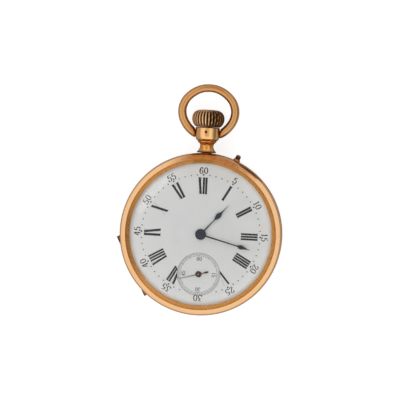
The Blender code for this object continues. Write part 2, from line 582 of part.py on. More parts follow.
# ================================================================ winding work
ph_crown = along(CROWNW, BARREL)
ph_ratchet = mesh_phase(CROWNW, 30, ph_crown, BARREL, 38)
cw = add("crown_wheel", moved(plate(pointed(30, 4.25, 4.88, ph_crown), [circle(0, 0, 0.5, 10)], 2.22, 2.68), (*CROWNW, 0)),
         STEEL, origin=(*CROWNW, 2.4), on="crown_wheel")
fuse(cw, moved(plate(circle(0, 0, 4.2, 20, 0.05), [circle(0, 0, 3.85, 20)], 2.6, 3.0), (*CROWNW, 0)))
rw = add("ratchet_wheel", moved(plate(pointed(38, 5.5, 6.1, ph_ratchet), [circle(0, 0, 0.5, 10)], 2.22, 2.68), (*BARREL, 0)),
         STEEL, origin=(*BARREL, 2.4), on="ratchet")
screw("crown_wheel_screw", CROWNW, 1.5, 0.4, 2.18, 3.25, 0.3)
rs = add("ratchet_screw", moved(turned([(0, 1.88), (1.5, 1.88), (1.5, 2.18), (0.4, 2.18), (0.4, 3.6), (0, 3.6)], 10),
                                (*BARREL, 0)), STEEL, origin=(*BARREL, 2.18), on="ratchet")
cut(rs, box(BARREL[0] - 0.12, BARREL[0] + 0.12, BARREL[1] - 3, BARREL[1] + 3, 1.0, 2.05))
dx, dy = BARREL[0] - CLICK[0], BARREL[1] - CLICK[1]
dl = math.hypot(dx, dy)
ux, uy = dx / dl, dy / dl
tip = (CLICK[0] + ux * (dl - 6.14), CLICK[1] + uy * (dl - 6.14))
ca = math.degrees(math.atan2(uy, ux))
add("click", plate(arc(CLICK[0], CLICK[1], 0.95, ca + 25, ca + 335, 12) +
                   [(tip[0] + uy * 0.25, tip[1] - ux * 0.25), (tip[0] - uy * 0.05, tip[1] + ux * 0.05)],
                   [circle(*CLICK, 0.4, 10)], 2.24, 2.66), STEEL, origin=(*CLICK, 2.4), on="click")
add("click_spring", plate([(-14.15, 7.8), (-13.2, 7.8), (-12.95, 7.2), (-13.35, 6.6), (-13.75, 6.5), (-14.6, 3.0),
                           (-14.85, 3.05), (-14.4, 6.9)], [circle(-13.75, 7.35, 0.25, 8)], 2.24, 2.6), STEEL)

# ================================================================ going train
ph_barrel = along(BARREL, CENTRE)
ph_cpin = mesh_phase(BARREL, 64, ph_barrel, CENTRE, 8)
ph_centre = along(CENTRE, THIRD)
ph_tpin = mesh_phase(CENTRE, 64, ph_centre, THIRD, 8)
ph_third = along(THIRD, FOURTH)
ph_fpin = mesh_phase(THIRD, 60, ph_third, FOURTH, 8)
ph_fourth = along(FOURTH, ESCAPE)
ph_epin = mesh_phase(FOURTH, 60, ph_fourth, ESCAPE, 6)
# tooth sizes (modules) from the distances between the arbors
M_BARREL = 2 * 8.1 / 72
M_CENTRE = 2 * 7.4013 / 72
M_THIRD = 2 * 5.7323 / 68
M_FOURTH = 2 * 4.618 / 66


def at(bm, p):
    return moved(bm, (p[0], p[1], 0))


ba = add("barrel", at(plate(wheel_teeth(64, M_BARREL, ph_barrel), [circle(0, 0, 0.92, 12)], 3.45, 3.75), BARREL), WHEEL,
         origin=(*BARREL, 4.0), on="barrel")
fuse(ba, at(plate(circle(0, 0, 6.6, 28), [circle(0, 0, 6.3, 28)], 3.6, 5.25), BARREL))
add("barrel_cover", at(plate(circle(0, 0, 6.2, 28), [circle(0, 0, 0.92, 12)], 4.98, 5.2), BARREL), WHEEL,
    origin=(*BARREL, 5.1), on="barrel")
add("barrel_arbor", at(turned([(0.46, 2.72), (0.84, 2.72), (0.84, 3.8), (1.35, 3.8), (1.35, 4.92), (0.84, 4.92), (0.84, 7.6),
                               (0, 7.6), (0, 3.66), (0.46, 3.66)], 14), BARREL), STEEL,
    origin=(*BARREL, 4.0), on="ratchet")
add("mainspring", at(spiral(1.6, 6.0, 4, 9, 0.16, 3.85, 4.9), BARREL), BLUED, origin=(*BARREL, 4.4), on="barrel")


def spoked(n, m, phase, rim, hub, z0, z1, spokes=3):
    """Toothed wheel crossed out with windows between its arms."""
    r = n * m / 2 - 1.2 * m
    holes = []
    half = 0.32
    for i in range(spokes):
        a0 = 360.0 / spokes * i
        a1 = a0 + 360.0 / spokes
        o0 = math.degrees(half / (r - rim))
        i0 = math.degrees(half / hub)
        holes.append(arc(0, 0, r - rim, a0 + o0, a1 - o0, 6) + arc(0, 0, hub, a1 - i0, a0 + i0, 1))
    return plate(wheel_teeth(n, m, phase), holes, z0, z1)


def arbor(profile, p, n=8):
    return at(turned(profile, n), p)


cwh = add("centre_wheel", spoked(64, M_CENTRE, ph_centre, 0.75, 1.3, 5.45, 5.65), WHEEL, origin=(0, 0, 5.5), on="centre")
fuse(cwh, arbor([(0, 2.9), (0.24, 2.9), (0.24, 3.36), (0.5, 3.4), (0.5, 5.85), (0.5, 5.92), (0.28, 6.0), (0.28, 9.9), (0, 9.9)], CENTRE))
fuse(cwh, plate(pinion_leaves(8, M_BARREL, ph_cpin), (), 3.42, 4.1))
twh = add("third_wheel", at(spoked(60, M_THIRD, ph_third, 0.6, 1.0, 4.3, 4.5), THIRD), WHEEL, origin=(*THIRD, 4.4), on="third")
fuse(twh, arbor([(0, 2.4), (0.13, 2.4), (0.13, 3.34), (0.35, 3.4), (0.35, 5.9), (0.13, 5.97), (0.13, 6.8), (0, 6.8)], THIRD, 8))
fuse(twh, at(plate(pinion_leaves(8, M_CENTRE, ph_tpin), (), 5.3, 5.8), THIRD))
fwh = add("fourth_wheel", at(spoked(60, M_FOURTH, ph_fourth, 0.5, 0.9, 4.95, 5.12), FOURTH), WHEEL, origin=(*FOURTH, 5.0), on="fourth")
fuse(fwh, arbor([(0, 2.4), (0.13, 2.4), (0.13, 3.34), (0.3, 3.4), (0.3, 5.9), (0.19, 5.97), (0.19, 9.2), (0, 9.2)], FOURTH, 8))
fuse(fwh, at(plate(pinion_leaves(8, M_THIRD, ph_fpin), (), 4.1, 4.7), FOURTH))

# escape wheel: fifteen raked teeth
pts = []
ph_esc = along(ESCAPE, FORK) + math.radians(6)
for i in range(15):
    a = ph_esc + 2 * math.pi * i / 15
    for da, r in ((-0.10, 1.95), (0.09, 2.58), (0.07, 1.95)):
        pts.append((r * math.cos(a + da), r * math.sin(a + da)))
holes = []
for i in range(4):
    holes.append(arc(0, 0, 1.65, 90 * i + 12, 90 * i + 78, 3) + arc(0, 0, 0.75, 90 * i + 58, 90 * i + 32, 1))
ew = add("escape_wheel", at(plate(pts, holes, 5.35, 5.52), ESCAPE), STEEL, origin=(*ESCAPE, 5.4), on="escape")
fuse(ew, arbor([(0, 2.4), (0.12, 2.4), (0.12, 3.34), (0.2, 3.4), (0.2, 5.9), (0.12, 5.97), (0.12, 6.8), (0, 6.8)], ESCAPE, 8))
fuse(ew, at(plate(pinion_leaves(6, M_FOURTH, ph_epin), (), 4.85, 5.3), ESCAPE))

# lever: two arms round the escape wheel, a fork towards the balance
fe = along(FORK, ESCAPE)
fb = along(FORK, BALANCE)
e30 = [(ESCAPE[0] + 2.72 * math.cos(fe + math.pi + s * math.radians(31)),
        ESCAPE[1] + 2.72 * math.sin(fe + math.pi + s * math.radians(31))) for s in (1, -1)]


def toward(p, ang, d, side=0.0):
    return (p[0] + d * math.cos(ang) - side * math.sin(ang), p[1] + d * math.sin(ang) + side * math.cos(ang))


lever = [toward(FORK, fb, -0.5, -0.45), toward(FORK, fb, 0.6, -0.4), toward(FORK, fb, 3.1, -0.16), toward(FORK, fb, 3.5, -0.55),
         toward(FORK, fb, 4.15, -0.5), toward(FORK, fb, 4.1, -0.2), toward(FORK, fb, 3.6, -0.17), toward(FORK, fb, 3.6, 0.17),
         toward(FORK, fb, 4.1, 0.2), toward(FORK, fb, 4.15, 0.5), toward(FORK, fb, 3.5, 0.55), toward(FORK, fb, 3.1, 0.16),
         toward(FORK, fb, 0.6, 0.4), toward(FORK, fb, -0.5, 0.45)]
pf = add("pallet_fork", plate(lever, (), 5.35, 5.55), STEEL, origin=(*FORK, 5.45), on="fork")
for k, q in enumerate(e30):
    d = along(ESCAPE, q)
    o1 = (ESCAPE[0] + 3.25 * math.cos(d), ESCAPE[1] + 3.25 * math.sin(d))
    fuse(pf, plate(taper_bar(FORK, o1, 0.3, 0.42, 4), (), 5.353 + 0.002 * k, 5.547 - 0.002 * k))
    stone = plate([toward(q, d, -0.02, -0.14), toward(q, d, -0.02, 0.14), toward(q, d, 0.5, 0.14), toward(q, d, 0.5, -0.14)],
                  (), 5.3, 5.6)
    slot = plate([toward(q, d, -0.6, -0.19), toward(q, d, -0.6, 0.19), toward(q, d, 0.55, 0.19), toward(q, d, 0.55, -0.19)],
                 (), 5.0, 5.9)
    cut(pf, slot)
    add("pallet_stone_%d" % (k + 1), stone, RUBY, origin=(*FORK, 5.45), on="fork")
fuse(pf, arbor([(0, 4.56), (0.12, 4.56), (0.12, 4.9), (0.28, 4.95), (0.28, 5.9), (0.12, 5.95), (0.12, 6.8), (0, 6.8)], FORK, 8))

# balance, roller, hairspring
bw = add("balance_wheel", at(plate(circle(0, 0, 5.7, 32),
                                   [arc(0, 0, 5.0, a + 8, a + 172, 10) + arc(0, 0, 1.1, a + 145, a + 35, 2) for a in (0, 180)],
                                   3.75, 4.3), BALANCE), WHEEL, origin=(*BALANCE, 4.0), on="balance")
fuse(bw, arbor([(0, 2.56), (0.11, 2.56), (0.11, 3.06), (0.3, 3.1), (0.3, 5.9), (0.11, 5.97), (0.11, 6.8), (0, 6.8)], BALANCE, 8))
rl = add("impulse_roller", at(plate(circle(0, 0, 1.5, 16), [circle(0, 0, 0.34, 8)], 4.7, 4.9), BALANCE), STEEL,
         origin=(*BALANCE, 4.8), on="balance")
ip = toward(BALANCE, fb + math.pi, 1.0)
fuse(rl, rod(ip, 0.14, 4.8, 5.3, 8))
add("hairspring", at(spiral(0.55, 3.1, 4, 9, 0.09, 3.3, 3.5), BALANCE), BLUED, origin=(*BALANCE, 3.4), on="balance")
add("regulator", plate(taper_bar(BALANCE, toward(BALANCE, math.radians(90 - COCK_ANG + 180 + 35), 4.6), 1.45, 0.12, 8),
                       [circle(*BALANCE, 0.85, 14)], 1.88, 2.1), STEEL, origin=(*BALANCE, 2.0), on="regulator")
add("balance_cap_jewel", rod(BALANCE, 0.78, 1.9, 2.45, 14), RUBY, origin=(*BALANCE, 2.2))
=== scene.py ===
# Looks of the open face pocket watch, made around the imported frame.
# Lengths in the helpers are millimetres; meshes are scaled to metres when made.
import bpy
import bmesh
import json
import math
from mathutils import Vector, Matrix

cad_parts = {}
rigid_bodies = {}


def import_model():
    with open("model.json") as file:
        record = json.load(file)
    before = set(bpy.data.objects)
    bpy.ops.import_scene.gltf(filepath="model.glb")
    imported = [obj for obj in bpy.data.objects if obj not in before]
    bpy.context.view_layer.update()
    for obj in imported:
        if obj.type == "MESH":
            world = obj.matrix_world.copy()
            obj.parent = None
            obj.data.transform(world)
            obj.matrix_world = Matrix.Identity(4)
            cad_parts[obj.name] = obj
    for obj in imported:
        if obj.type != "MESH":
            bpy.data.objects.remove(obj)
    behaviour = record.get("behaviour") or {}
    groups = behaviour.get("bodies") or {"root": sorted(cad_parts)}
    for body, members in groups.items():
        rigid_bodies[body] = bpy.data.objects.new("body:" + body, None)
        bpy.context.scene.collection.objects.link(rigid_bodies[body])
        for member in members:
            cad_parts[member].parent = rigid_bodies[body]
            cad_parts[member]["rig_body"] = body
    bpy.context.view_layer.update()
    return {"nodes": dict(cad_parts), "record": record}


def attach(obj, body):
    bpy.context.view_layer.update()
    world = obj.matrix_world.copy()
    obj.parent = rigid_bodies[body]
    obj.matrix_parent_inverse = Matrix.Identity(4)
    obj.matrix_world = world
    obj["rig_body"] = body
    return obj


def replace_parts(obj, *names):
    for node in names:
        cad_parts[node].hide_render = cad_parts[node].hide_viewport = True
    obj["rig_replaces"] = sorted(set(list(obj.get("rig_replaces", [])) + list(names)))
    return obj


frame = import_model()
NODES = frame["nodes"]
MM = 0.001
PI = math.pi
ROOM = bpy.context.scene.collection

# ---------------------------------------------------------------- driving sizes, as in the CAD model
Z_STEM = 5.0
BOW_PIVOT_Y = 28.0
BOW_HALF = [(4.5, 29.08, 1.19, 38), (5.45, 29.93, 1.2, 47), (6.45, 31.2, 1.2, 58), (7.2, 32.7, 1.2, 73), (7.53, 34.4, 1.2, 90),
            (7.33, 36.2, 1.19, 107), (6.5, 38.0, 1.17, 124), (5.2, 39.4, 1.15, 139), (3.6, 40.5, 1.13, 153), (1.8, 41.18, 1.115, 167),
            (0.0, 41.39, 1.11, 180)]
HINGE_ANG, HINGE_R, HINGE_Z = 241.7, 21.3, 2.9
PUSH_ANG, PRY_ANG = 22.3, 34.0
HOUR_ANGLE, MINUTE_ANGLE, SECOND_ANGLE = 40.6, 104.05, 253.25
PRINT_TURN = -0.4        # the dial print sits a little round from the case
FOURTH = (0.0, -11.3)
BARREL = (-6.5, 4.8332)
THIRD = (-3.31, -6.62)
ESCAPE = (4.46, -12.5)
FORK = (6.4, -10.2)
BALANCE = (9.5, -6.5)
CROWNW = (0.0, 13.0)
CLICK = (-14.0, 1.2)
Z_DIAL = 9.2


def clock(angle, r):
    a = math.radians(angle)
    return (r * math.sin(a), r * math.cos(a))


# ================================================================ materials
class Tree:
    """Short calls for building one node material."""

    def __init__(self, name):
        self.m = bpy.data.materials.new(name)
        self.m.use_nodes = True
        self.nt = self.m.node_tree
        self.nt.nodes.clear()
        self.out = self.nt.nodes.new("ShaderNodeOutputMaterial")
        self.bsdf = self.nt.nodes.new("ShaderNodeBsdfPrincipled")
        self.nt.links.new(self.bsdf.outputs[0], self.out.inputs["Surface"])
        self.co = self.nt.nodes.new("ShaderNodeTexCoord").outputs["Object"]
        s = self.nt.nodes.new("ShaderNodeVectorMath")
        s.operation = "SCALE"
        s.inputs["Scale"].default_value = 1000.0
        self.link(self.co, s.inputs[0])
        self.mm = s.outputs[0]

    def link(self, a, b):
        self.nt.links.new(a, b)

    def put(self, socket, v):
        if isinstance(v, bpy.types.NodeSocket):
            self.link(v, socket)
        elif v is not None:
            if hasattr(socket.default_value, "__len__") and len(socket.default_value) == 4 and len(v) == 3:
                v = (*v, 1.0)
            socket.default_value = v

    def math(self, op, a, b=None, c=None, clamp=False):
        n = self.nt.nodes.new("ShaderNodeMath")
        n.operation = op
        n.use_clamp = clamp
        for s, v in zip(n.inputs, (a, b, c)):
            self.put(s, v)
        return n.outputs[0]

    def vec(self, op, a, b=None, scale=None):
        n = self.nt.nodes.new("ShaderNodeVectorMath")
        n.operation = op
        self.put(n.inputs[0], a)
        if b is not None:
            self.put(n.inputs[1], b)
        if scale is not None:
            n.inputs["Scale"].default_value = scale
        return n.outputs["Value"] if op in ("LENGTH", "DISTANCE", "DOT_PRODUCT") else n.outputs[0]

    def xyz(self, v):
        n = self.nt.nodes.new("ShaderNodeSeparateXYZ")
        self.link(v, n.inputs[0])
        return n.outputs

    def comb(self, x, y, z):
        n = self.nt.nodes.new("ShaderNodeCombineXYZ")
        for s, v in zip(n.inputs, (x, y, z)):
            self.put(s, v)
        return n.outputs[0]

    def noise(self, co, scale, detail=2.0, rough=0.5, distort=0.0):
        n = self.nt.nodes.new("ShaderNodeTexNoise")
        self.put(n.inputs["Vector"], co)
        n.inputs["Scale"].default_value = scale
        n.inputs["Detail"].default_value = detail
        n.inputs["Roughness"].default_value = rough
        n.inputs["Distortion"].default_value = distort
        return n.outputs["Fac"]

    def voronoi(self, co, scale, feature="F1", out="Distance", rand=1.0):
        n = self.nt.nodes.new("ShaderNodeTexVoronoi")
        n.feature = feature
        self.put(n.inputs["Vector"], co)
        n.inputs["Scale"].default_value = scale
        n.inputs["Randomness"].default_value = rand
        return n.outputs[out]

    def stretch(self, co, s, rot=(0, 0, 0)):
        n = self.nt.nodes.new("ShaderNodeMapping")
        self.link(co, n.inputs["Vector"])
        n.inputs["Scale"].default_value = s
        n.inputs["Rotation"].default_value = rot
        return n.outputs[0]

    def rng(self, v, a, b, c=0.0, d=1.0, smooth=False):
        n = self.nt.nodes.new("ShaderNodeMapRange")
        n.interpolation_type = "SMOOTHSTEP" if smooth else "LINEAR"
        n.clamp = True
        self.link(v, n.inputs["Value"])
        for k, x in zip(("From Min", "From Max", "To Min", "To Max"), (a, b, c, d)):
            n.inputs[k].default_value = x
        return n.outputs[0]

    def mix(self, fac, a, b):
        n = self.nt.nodes.new("ShaderNodeMix")
        n.data_type = "RGBA"
        self.put(n.inputs["Factor"], fac)
        self.put(n.inputs["A"], a)
        self.put(n.inputs["B"], b)
        return n.outputs["Result"]

    def attr(self, name):
        n = self.nt.nodes.new("ShaderNodeAttribute")
        n.attribute_name = name
        return n.outputs["Fac"]

    def bump(self, height, strength, dist=0.00002, normal=None):
        n = self.nt.nodes.new("ShaderNodeBump")
        n.inputs["Strength"].default_value = strength
        n.inputs["Distance"].default_value = dist
        self.link(height, n.inputs["Height"])
        if normal is not None:
            self.link(normal, n.inputs["Normal"])
        return n.outputs[0]

    def set(self, **k):
        for a, v in k.items():
            self.put(self.bsdf.inputs[a.replace("_", " ")], v)
        return self.m


def scratches(t, seed=0.0):
    """Fine straight handling scratches in two directions, 0 to 1."""
    lines = None
    for ang, sc in ((0.6 + seed, 0.9), (-0.9 + seed, 1.3), (1.9 + seed, 0.7)):
        co = t.stretch(t.mm, (0.12, 3.2, 0.6), (0.3, 0.2, ang))
        n = t.noise(co, sc, 1.0, 0.4)
        band = t.rng(t.math("ABSOLUTE", t.math("SUBTRACT", n, 0.5)), 0.0, 0.012, 1.0, 0.0)
        lines = band if lines is None else t.math("MAXIMUM", lines, band)
    gate = t.rng(t.noise(t.mm, 0.35, 2.0), 0.45, 0.6)
    return t.math("MULTIPLY", lines, gate)


def gold(name, base, deep, dark, tan=(0.76, 0.33, 0.085), rough=0.12, rough2=0.26, wear=0.35, bump=0.12):
    """Polished gold alloy: soft colour drift, hairline scratches, and brown to near-black colour where the per-vertex
    darkening attribute says; that colour is mostly painted shade and painted reflection, with some dirt.
    """
    t = Tree(name)
    drift = t.rng(t.noise(t.mm, 0.22, 3.0, 0.55), 0.3, 0.7)
    colour = t.mix(t.math("MULTIPLY", drift, 0.45), base, deep)
    # the per-vertex darkening read here is painted shade and painted reflection, with some dirt in the grooves
    shade_and_grime = t.attr("shade_and_dirt")
    speck = t.rng(t.noise(t.mm, 1.6, 5.0, 0.7), 0.42, 0.72)
    shade_and_dirt = t.math("MULTIPLY", shade_and_grime, t.math("ADD", 0.85, t.math("MULTIPLY", speck, 0.3)), clamp=True)
    colour = t.mix(t.rng(shade_and_dirt, 0.0, 0.5), colour, tan)
    colour = t.mix(t.rng(shade_and_dirt, 0.5, 1.0), colour, dark)
    scr = scratches(t)
    fine = t.noise(t.mm, 9.0, 3.0, 0.6)
    r = t.math("ADD", t.rng(t.noise(t.mm, 0.6, 4.0, 0.6), 0.3, 0.7, rough, rough2), t.math("MULTIPLY", scr, 0.16))
    r = t.math("ADD", r, t.math("MULTIPLY", shade_and_dirt, 0.22), clamp=True)
    h = t.math("ADD", t.math("MULTIPLY", fine, 0.25), t.math("MULTIPLY", scr, -wear))
    dents = t.noise(t.mm, 0.28, 2.0, 0.5)
    h = t.math("ADD", h, t.math("MULTIPLY", dents, 1.4))
    return t.set(Base_Color=colour, Metallic=1.0, Roughness=r, Normal=t.bump(h, bump, 0.00003))


def steel(name, base, deep, rough=0.14, rough2=0.3, brush=(1.0, 14.0, 1.0), bump=0.08, mottled=0.0, tint=None):
    """Hardened steel: brushed grain, tempering colour drift and faint spots."""
    t = Tree(name)
    drift = t.rng(t.noise(t.mm, 0.8, 4.0, 0.6), 0.35, 0.68)
    colour = t.mix(drift, base, deep)
    if mottled:
        spots = t.rng(t.noise(t.mm, 3.4, 6.0, 0.72), 0.52, 0.66)
        colour = t.mix(t.math("MULTIPLY", spots, mottled), colour, tint)
    grain = t.noise(t.stretch(t.mm, brush), 6.0, 3.0, 0.6)
    r = t.math("ADD", t.rng(t.noise(t.mm, 1.5, 4.0, 0.6), 0.3, 0.7, rough, rough2), t.math("MULTIPLY", grain, 0.06), clamp=True)
    return t.set(Base_Color=colour, Metallic=1.0, Roughness=r, Normal=t.bump(grain, bump, 0.00001))


ROSE = (0.82, 0.50, 0.262)
M_GOLD = gold("case_gold", ROSE, (0.80, 0.46, 0.215), (0.055, 0.013, 0.003))
M_BOW = gold("bow_gold", (0.70, 0.365, 0.145), (0.63, 0.30, 0.10), (0.08, 0.022, 0.004), (0.62, 0.25, 0.06), 0.2, 0.32)
M_PEND = gold("pendant_gold", (0.88, 0.52, 0.23), (0.84, 0.45, 0.16), (0.04, 0.010, 0.003), (0.84, 0.34, 0.07), 0.10, 0.2)
M_WORN = gold("crown_gold", (0.98, 0.68, 0.38), (0.84, 0.50, 0.21), (0.020, 0.009, 0.004), (0.30, 0.14, 0.055), 0.2, 0.36, 0.6, 0.2)
M_CUV = gold("cuvette_gold", (0.80, 0.52, 0.27), (0.74, 0.44, 0.19), (0.3, 0.13, 0.05), (0.6, 0.3, 0.1), 0.10, 0.2)
M_STEEL = steel("polished_steel", (0.60, 0.61, 0.63), (0.48, 0.49, 0.52))
M_BLUED = steel("blued_steel", (0.008, 0.011, 0.022), (0.013, 0.018, 0.040), 0.2, 0.36, mottled=0.5, tint=(0.035, 0.048, 0.08))
M_BLUESCREW = steel("blued_screw", (0.02, 0.05, 0.32), (0.035, 0.04, 0.2), 0.12, 0.22)
M_MINUTE = steel("browned_steel", (0.016, 0.010, 0.012), (0.032, 0.017, 0.015), 0.24, 0.4, mottled=0.4, tint=(0.06, 0.042, 0.04))
M_PURPLE = steel("purple_steel", (0.040, 0.012, 0.008), (0.08, 0.024, 0.013), 0.26, 0.42, mottled=0.35, tint=(0.16, 0.07, 0.05))
M_SPRING = steel("spring_steel", (0.03, 0.05, 0.17), (0.05, 0.05, 0.12), 0.18, 0.3)


def perlage_material():
    """Gilt plate with overlapping round spots."""
    t = Tree("gilt_perlage")
    x, y, z = t.xyz(t.mm)
    best = None
    for ox, oy in ((0.0, 0.0), (0.45, 0.39)):
        px = t.math("SUBTRACT", t.math("FRACT", t.math("ADD", t.math("DIVIDE", x, 0.9), ox / 0.9)), 0.5)
        py = t.math("SUBTRACT", t.math("FRACT", t.math("ADD", t.math("DIVIDE", y, 0.78), oy / 0.78)), 0.5)
        d = t.math("SQRT", t.math("ADD", t.math("MULTIPLY", px, px), t.math("MULTIPLY", py, py)))
        ring = t.math("SINE", t.math("MULTIPLY", d, 75.0))
        cell = t.math("MULTIPLY", ring, t.rng(d, 0.42, 0.5, 1.0, 0.0))
        best = cell if best is None else t.math("MAXIMUM", best, cell)
    drift = t.rng(t.noise(t.mm, 0.3, 4.0), 0.3, 0.7)
    colour = t.mix(drift, (0.80, 0.62, 0.32), (0.72, 0.50, 0.22))
    r = t.rng(t.noise(t.mm, 0.9, 3.0), 0.3, 0.7, 0.26, 0.4)
    return t.set(Base_Color=colour, Metallic=1.0, Roughness=r, Normal=t.bump(best, 0.25, 0.00001))


def gilt_material():
    """Matt fire-gilt plate: fine frosted grain and slight stain."""
    t = Tree("gilt_frosted")
    drift = t.rng(t.noise(t.mm, 0.25, 4.0, 0.6), 0.3, 0.7)
    colour = t.mix(drift, (0.82, 0.64, 0.33), (0.75, 0.53, 0.24))
    spots = t.rng(t.noise(t.mm, 1.1, 6.0, 0.7), 0.62, 0.74)
    colour = t.mix(t.math("MULTIPLY", spots, 0.35), colour, (0.42, 0.25, 0.09))
    grain = t.noise(t.mm, 14.0, 4.0, 0.7)
    r = t.rng(grain, 0.3, 0.7, 0.3, 0.48)
    return t.set(Base_Color=colour, Metallic=1.0, Roughness=r, Normal=t.bump(grain, 0.35, 0.00001))


def wheel_material(name, base, deep):
    """Turned and circular-grained brass."""
    t = Tree(name)
    drift = t.rng(t.noise(t.mm, 0.5, 3.0), 0.3, 0.7)
    colour = t.mix(drift, base, deep)
    grain = t.noise(t.stretch(t.mm, (1.0, 1.0, 0.2)), 22.0, 2.0, 0.5)
    r = t.rng(t.noise(t.mm, 1.4, 3.0), 0.3, 0.7, 0.16, 0.3)
    return t.set(Base_Color=colour, Metallic=1.0, Roughness=r, Normal=t.bump(grain, 0.12, 0.00001))


def sunray_material():
    """Steel wheel snailed in fine arcs from its centre."""
    t = Tree("snailed_steel")
    x, y, z = t.xyz(t.vec("SUBTRACT", t.mm, (BARREL[0], BARREL[1], 0.0)))
    ang = t.math("ARCTAN2", y, x)
    rad = t.math("SQRT", t.math("ADD", t.math("MULTIPLY", x, x), t.math("MULTIPLY", y, y)))
    wave = t.math("SINE", t.math("ADD", t.math("MULTIPLY", ang, 60.0), t.math("MULTIPLY", rad, 4.0)))
    drift = t.rng(t.noise(t.mm, 0.7, 3.0), 0.3, 0.7)
    colour = t.mix(drift, (0.62, 0.63, 0.65), (0.52, 0.53, 0.55))
    r = t.rng(wave, -1.0, 1.0, 0.16, 0.27)
    return t.set(Base_Color=colour, Metallic=1.0, Roughness=r, Normal=t.bump(wave, 0.12, 0.00001))


M_PERLAGE = perlage_material()
M_GILT = gilt_material()
M_WHEEL = wheel_material("wheel_brass", (0.86, 0.67, 0.31), (0.78, 0.56, 0.22))
M_BALANCE = wheel_material("balance_brass", (0.88, 0.72, 0.40), (0.80, 0.60, 0.28))
M_SNAIL = sunray_material()


def enamel_material():
    """Fired enamel: pale grey white, glassy, with a lighter band inside the edge that is painted light against the
    bezel's shade, a beige tint towards the edge, a yellow patch and hair cracks round the centre.
    """
    t = Tree("dial_enamel")
    x, y, z = t.xyz(t.mm)
    flat = t.comb(x, y, 0.0)
    r = t.vec("LENGTH", flat)
    cloud = t.rng(t.noise(flat, 0.16, 3.0, 0.55), 0.3, 0.7)
    colour = t.mix(cloud, (0.708, 0.722, 0.716), (0.682, 0.698, 0.698))
    # painted light: the enamel is lightened towards its edge, against the bezel's shade there
    colour = t.mix(t.rng(r, 16.5, 19.6, 0.0, 1.0, True), colour, (0.775, 0.78, 0.765))
    # a beige tint towards the edge, stronger to the lower right
    edge = t.rng(r, 18.9, 20.3, 0.0, 1.0, True)
    side = t.rng(t.math("SUBTRACT", t.math("MULTIPLY", x, 0.75), t.math("MULTIPLY", y, 0.45)), -16.0, 16.0, 0.35, 1.0)
    edge_tint = t.math("MULTIPLY", t.math("MULTIPLY", edge, side), t.rng(t.noise(flat, 0.5, 4.0), 0.3, 0.7, 0.55, 1.0))
    colour = t.mix(t.math("MULTIPLY", edge_tint, 0.7), colour, (0.66, 0.53, 0.34))
    patch = t.rng(t.vec("DISTANCE", flat, (17.0, 2.2, 0.0)), 0.0, 2.6, 0.42, 0.0, True)
    colour = t.mix(t.math("MULTIPLY", patch, t.rng(t.noise(flat, 1.1, 4.0), 0.35, 0.65)), colour, (0.66, 0.62, 0.45))
    patch2 = t.rng(t.vec("DISTANCE", flat, (4.5, -1.0, 0.0)), 0.0, 9.0, 0.25, 0.0, True)
    colour = t.mix(patch2, colour, (0.665, 0.665, 0.62))
    wob = t.vec("ADD", flat, t.comb(t.noise(flat, 0.5, 2.0), t.noise(t.vec("ADD", flat, (9.0, 4.0, 0.0)), 0.5, 2.0), 0.0))
    crack = t.rng(t.voronoi(wob, 0.34, "DISTANCE_TO_EDGE"), 0.0, 0.012, 1.0, 0.0)
    near = t.rng(r, 2.0, 11.0, 0.5, 0.0, True)
    crack = t.math("MULTIPLY", t.math("MULTIPLY", crack, near), t.rng(t.noise(flat, 0.45, 2.0), 0.45, 0.62))
    colour = t.mix(crack, colour, (0.36, 0.34, 0.31))
    peel = t.noise(flat, 0.9, 2.0, 0.4)
    rough = t.rng(t.noise(flat, 2.2, 4.0), 0.3, 0.7, 0.14, 0.24)
    return t.set(Base_Color=colour, Roughness=rough, Specular_IOR_Level=0.45,
                 Normal=t.bump(t.math("SUBTRACT", peel, t.math("MULTIPLY", crack, 0.6)), 0.05, 0.00006))


def paint_material(name, base, deep, rough=0.3):
    """Fired dial paint, thin in places."""
    t = Tree(name)
    colour = t.mix(t.rng(t.noise(t.mm, 2.4, 5.0, 0.65), 0.4, 0.68), base, deep)
    r = t.rng(t.noise(t.mm, 4.0, 3.0), 0.3, 0.7, rough, rough + 0.12)
    return t.set(Base_Color=colour, Roughness=r, Specular_IOR_Level=0.12)


M_ENAMEL = enamel_material()
M_BLACK = paint_material("numeral_black", (0.004, 0.004, 0.005), (0.010, 0.010, 0.010))
M_DIGIT = paint_material("minute_black", (0.008, 0.008, 0.010), (0.022, 0.021, 0.023))
M_DOT = paint_material("minute_dot_grey", (0.045, 0.038, 0.038), (0.13, 0.11, 0.11))
M_TRACK = paint_material("seconds_track_grey", (0.075, 0.068, 0.06), (0.17, 0.155, 0.14))


def glass_material():
    """Clear mineral glass that lets lamps through, with fine rubbing marks."""
    t = Tree("watch_glass")
    scr = scratches(t, 0.7)
    r = t.rng(t.noise(t.mm, 0.5, 3.0), 0.3, 0.7, 0.0, 0.02)
    t.set(Base_Color=(1.0, 1.0, 1.0), Roughness=r, IOR=1.42, Transmission_Weight=1.0, Specular_IOR_Level=0.2,
          Normal=t.bump(scr, 0.012, 0.000004))
    path = t.nt.nodes.new("ShaderNodeLightPath")
    clear = t.nt.nodes.new("ShaderNodeBsdfTransparent")
    clear.inputs["Color"].default_value = (0.97, 0.97, 0.97, 1.0)
    both = t.nt.nodes.new("ShaderNodeMixShader")
    t.link(path.outputs["Is Shadow Ray"], both.inputs[0])
    t.link(t.bsdf.outputs[0], both.inputs[1])
    t.link(clear.outputs[0], both.inputs[2])
    t.link(both.outputs[0], t.out.inputs["Surface"])
    return t.m


def ruby_material():
    t = Tree("ruby")
    colour = t.mix(t.rng(t.noise(t.mm, 1.2, 3.0), 0.35, 0.65), (0.55, 0.015, 0.05), (0.40, 0.01, 0.035))
    r = t.rng(t.noise(t.mm, 3.0, 2.0), 0.3, 0.7, 0.03, 0.08)
    return t.set(Base_Color=colour, Roughness=r, IOR=1.76, Coat_Weight=0.6, Coat_Roughness=0.03)


M_GLASS = glass_material()
M_RUBY = ruby_material()


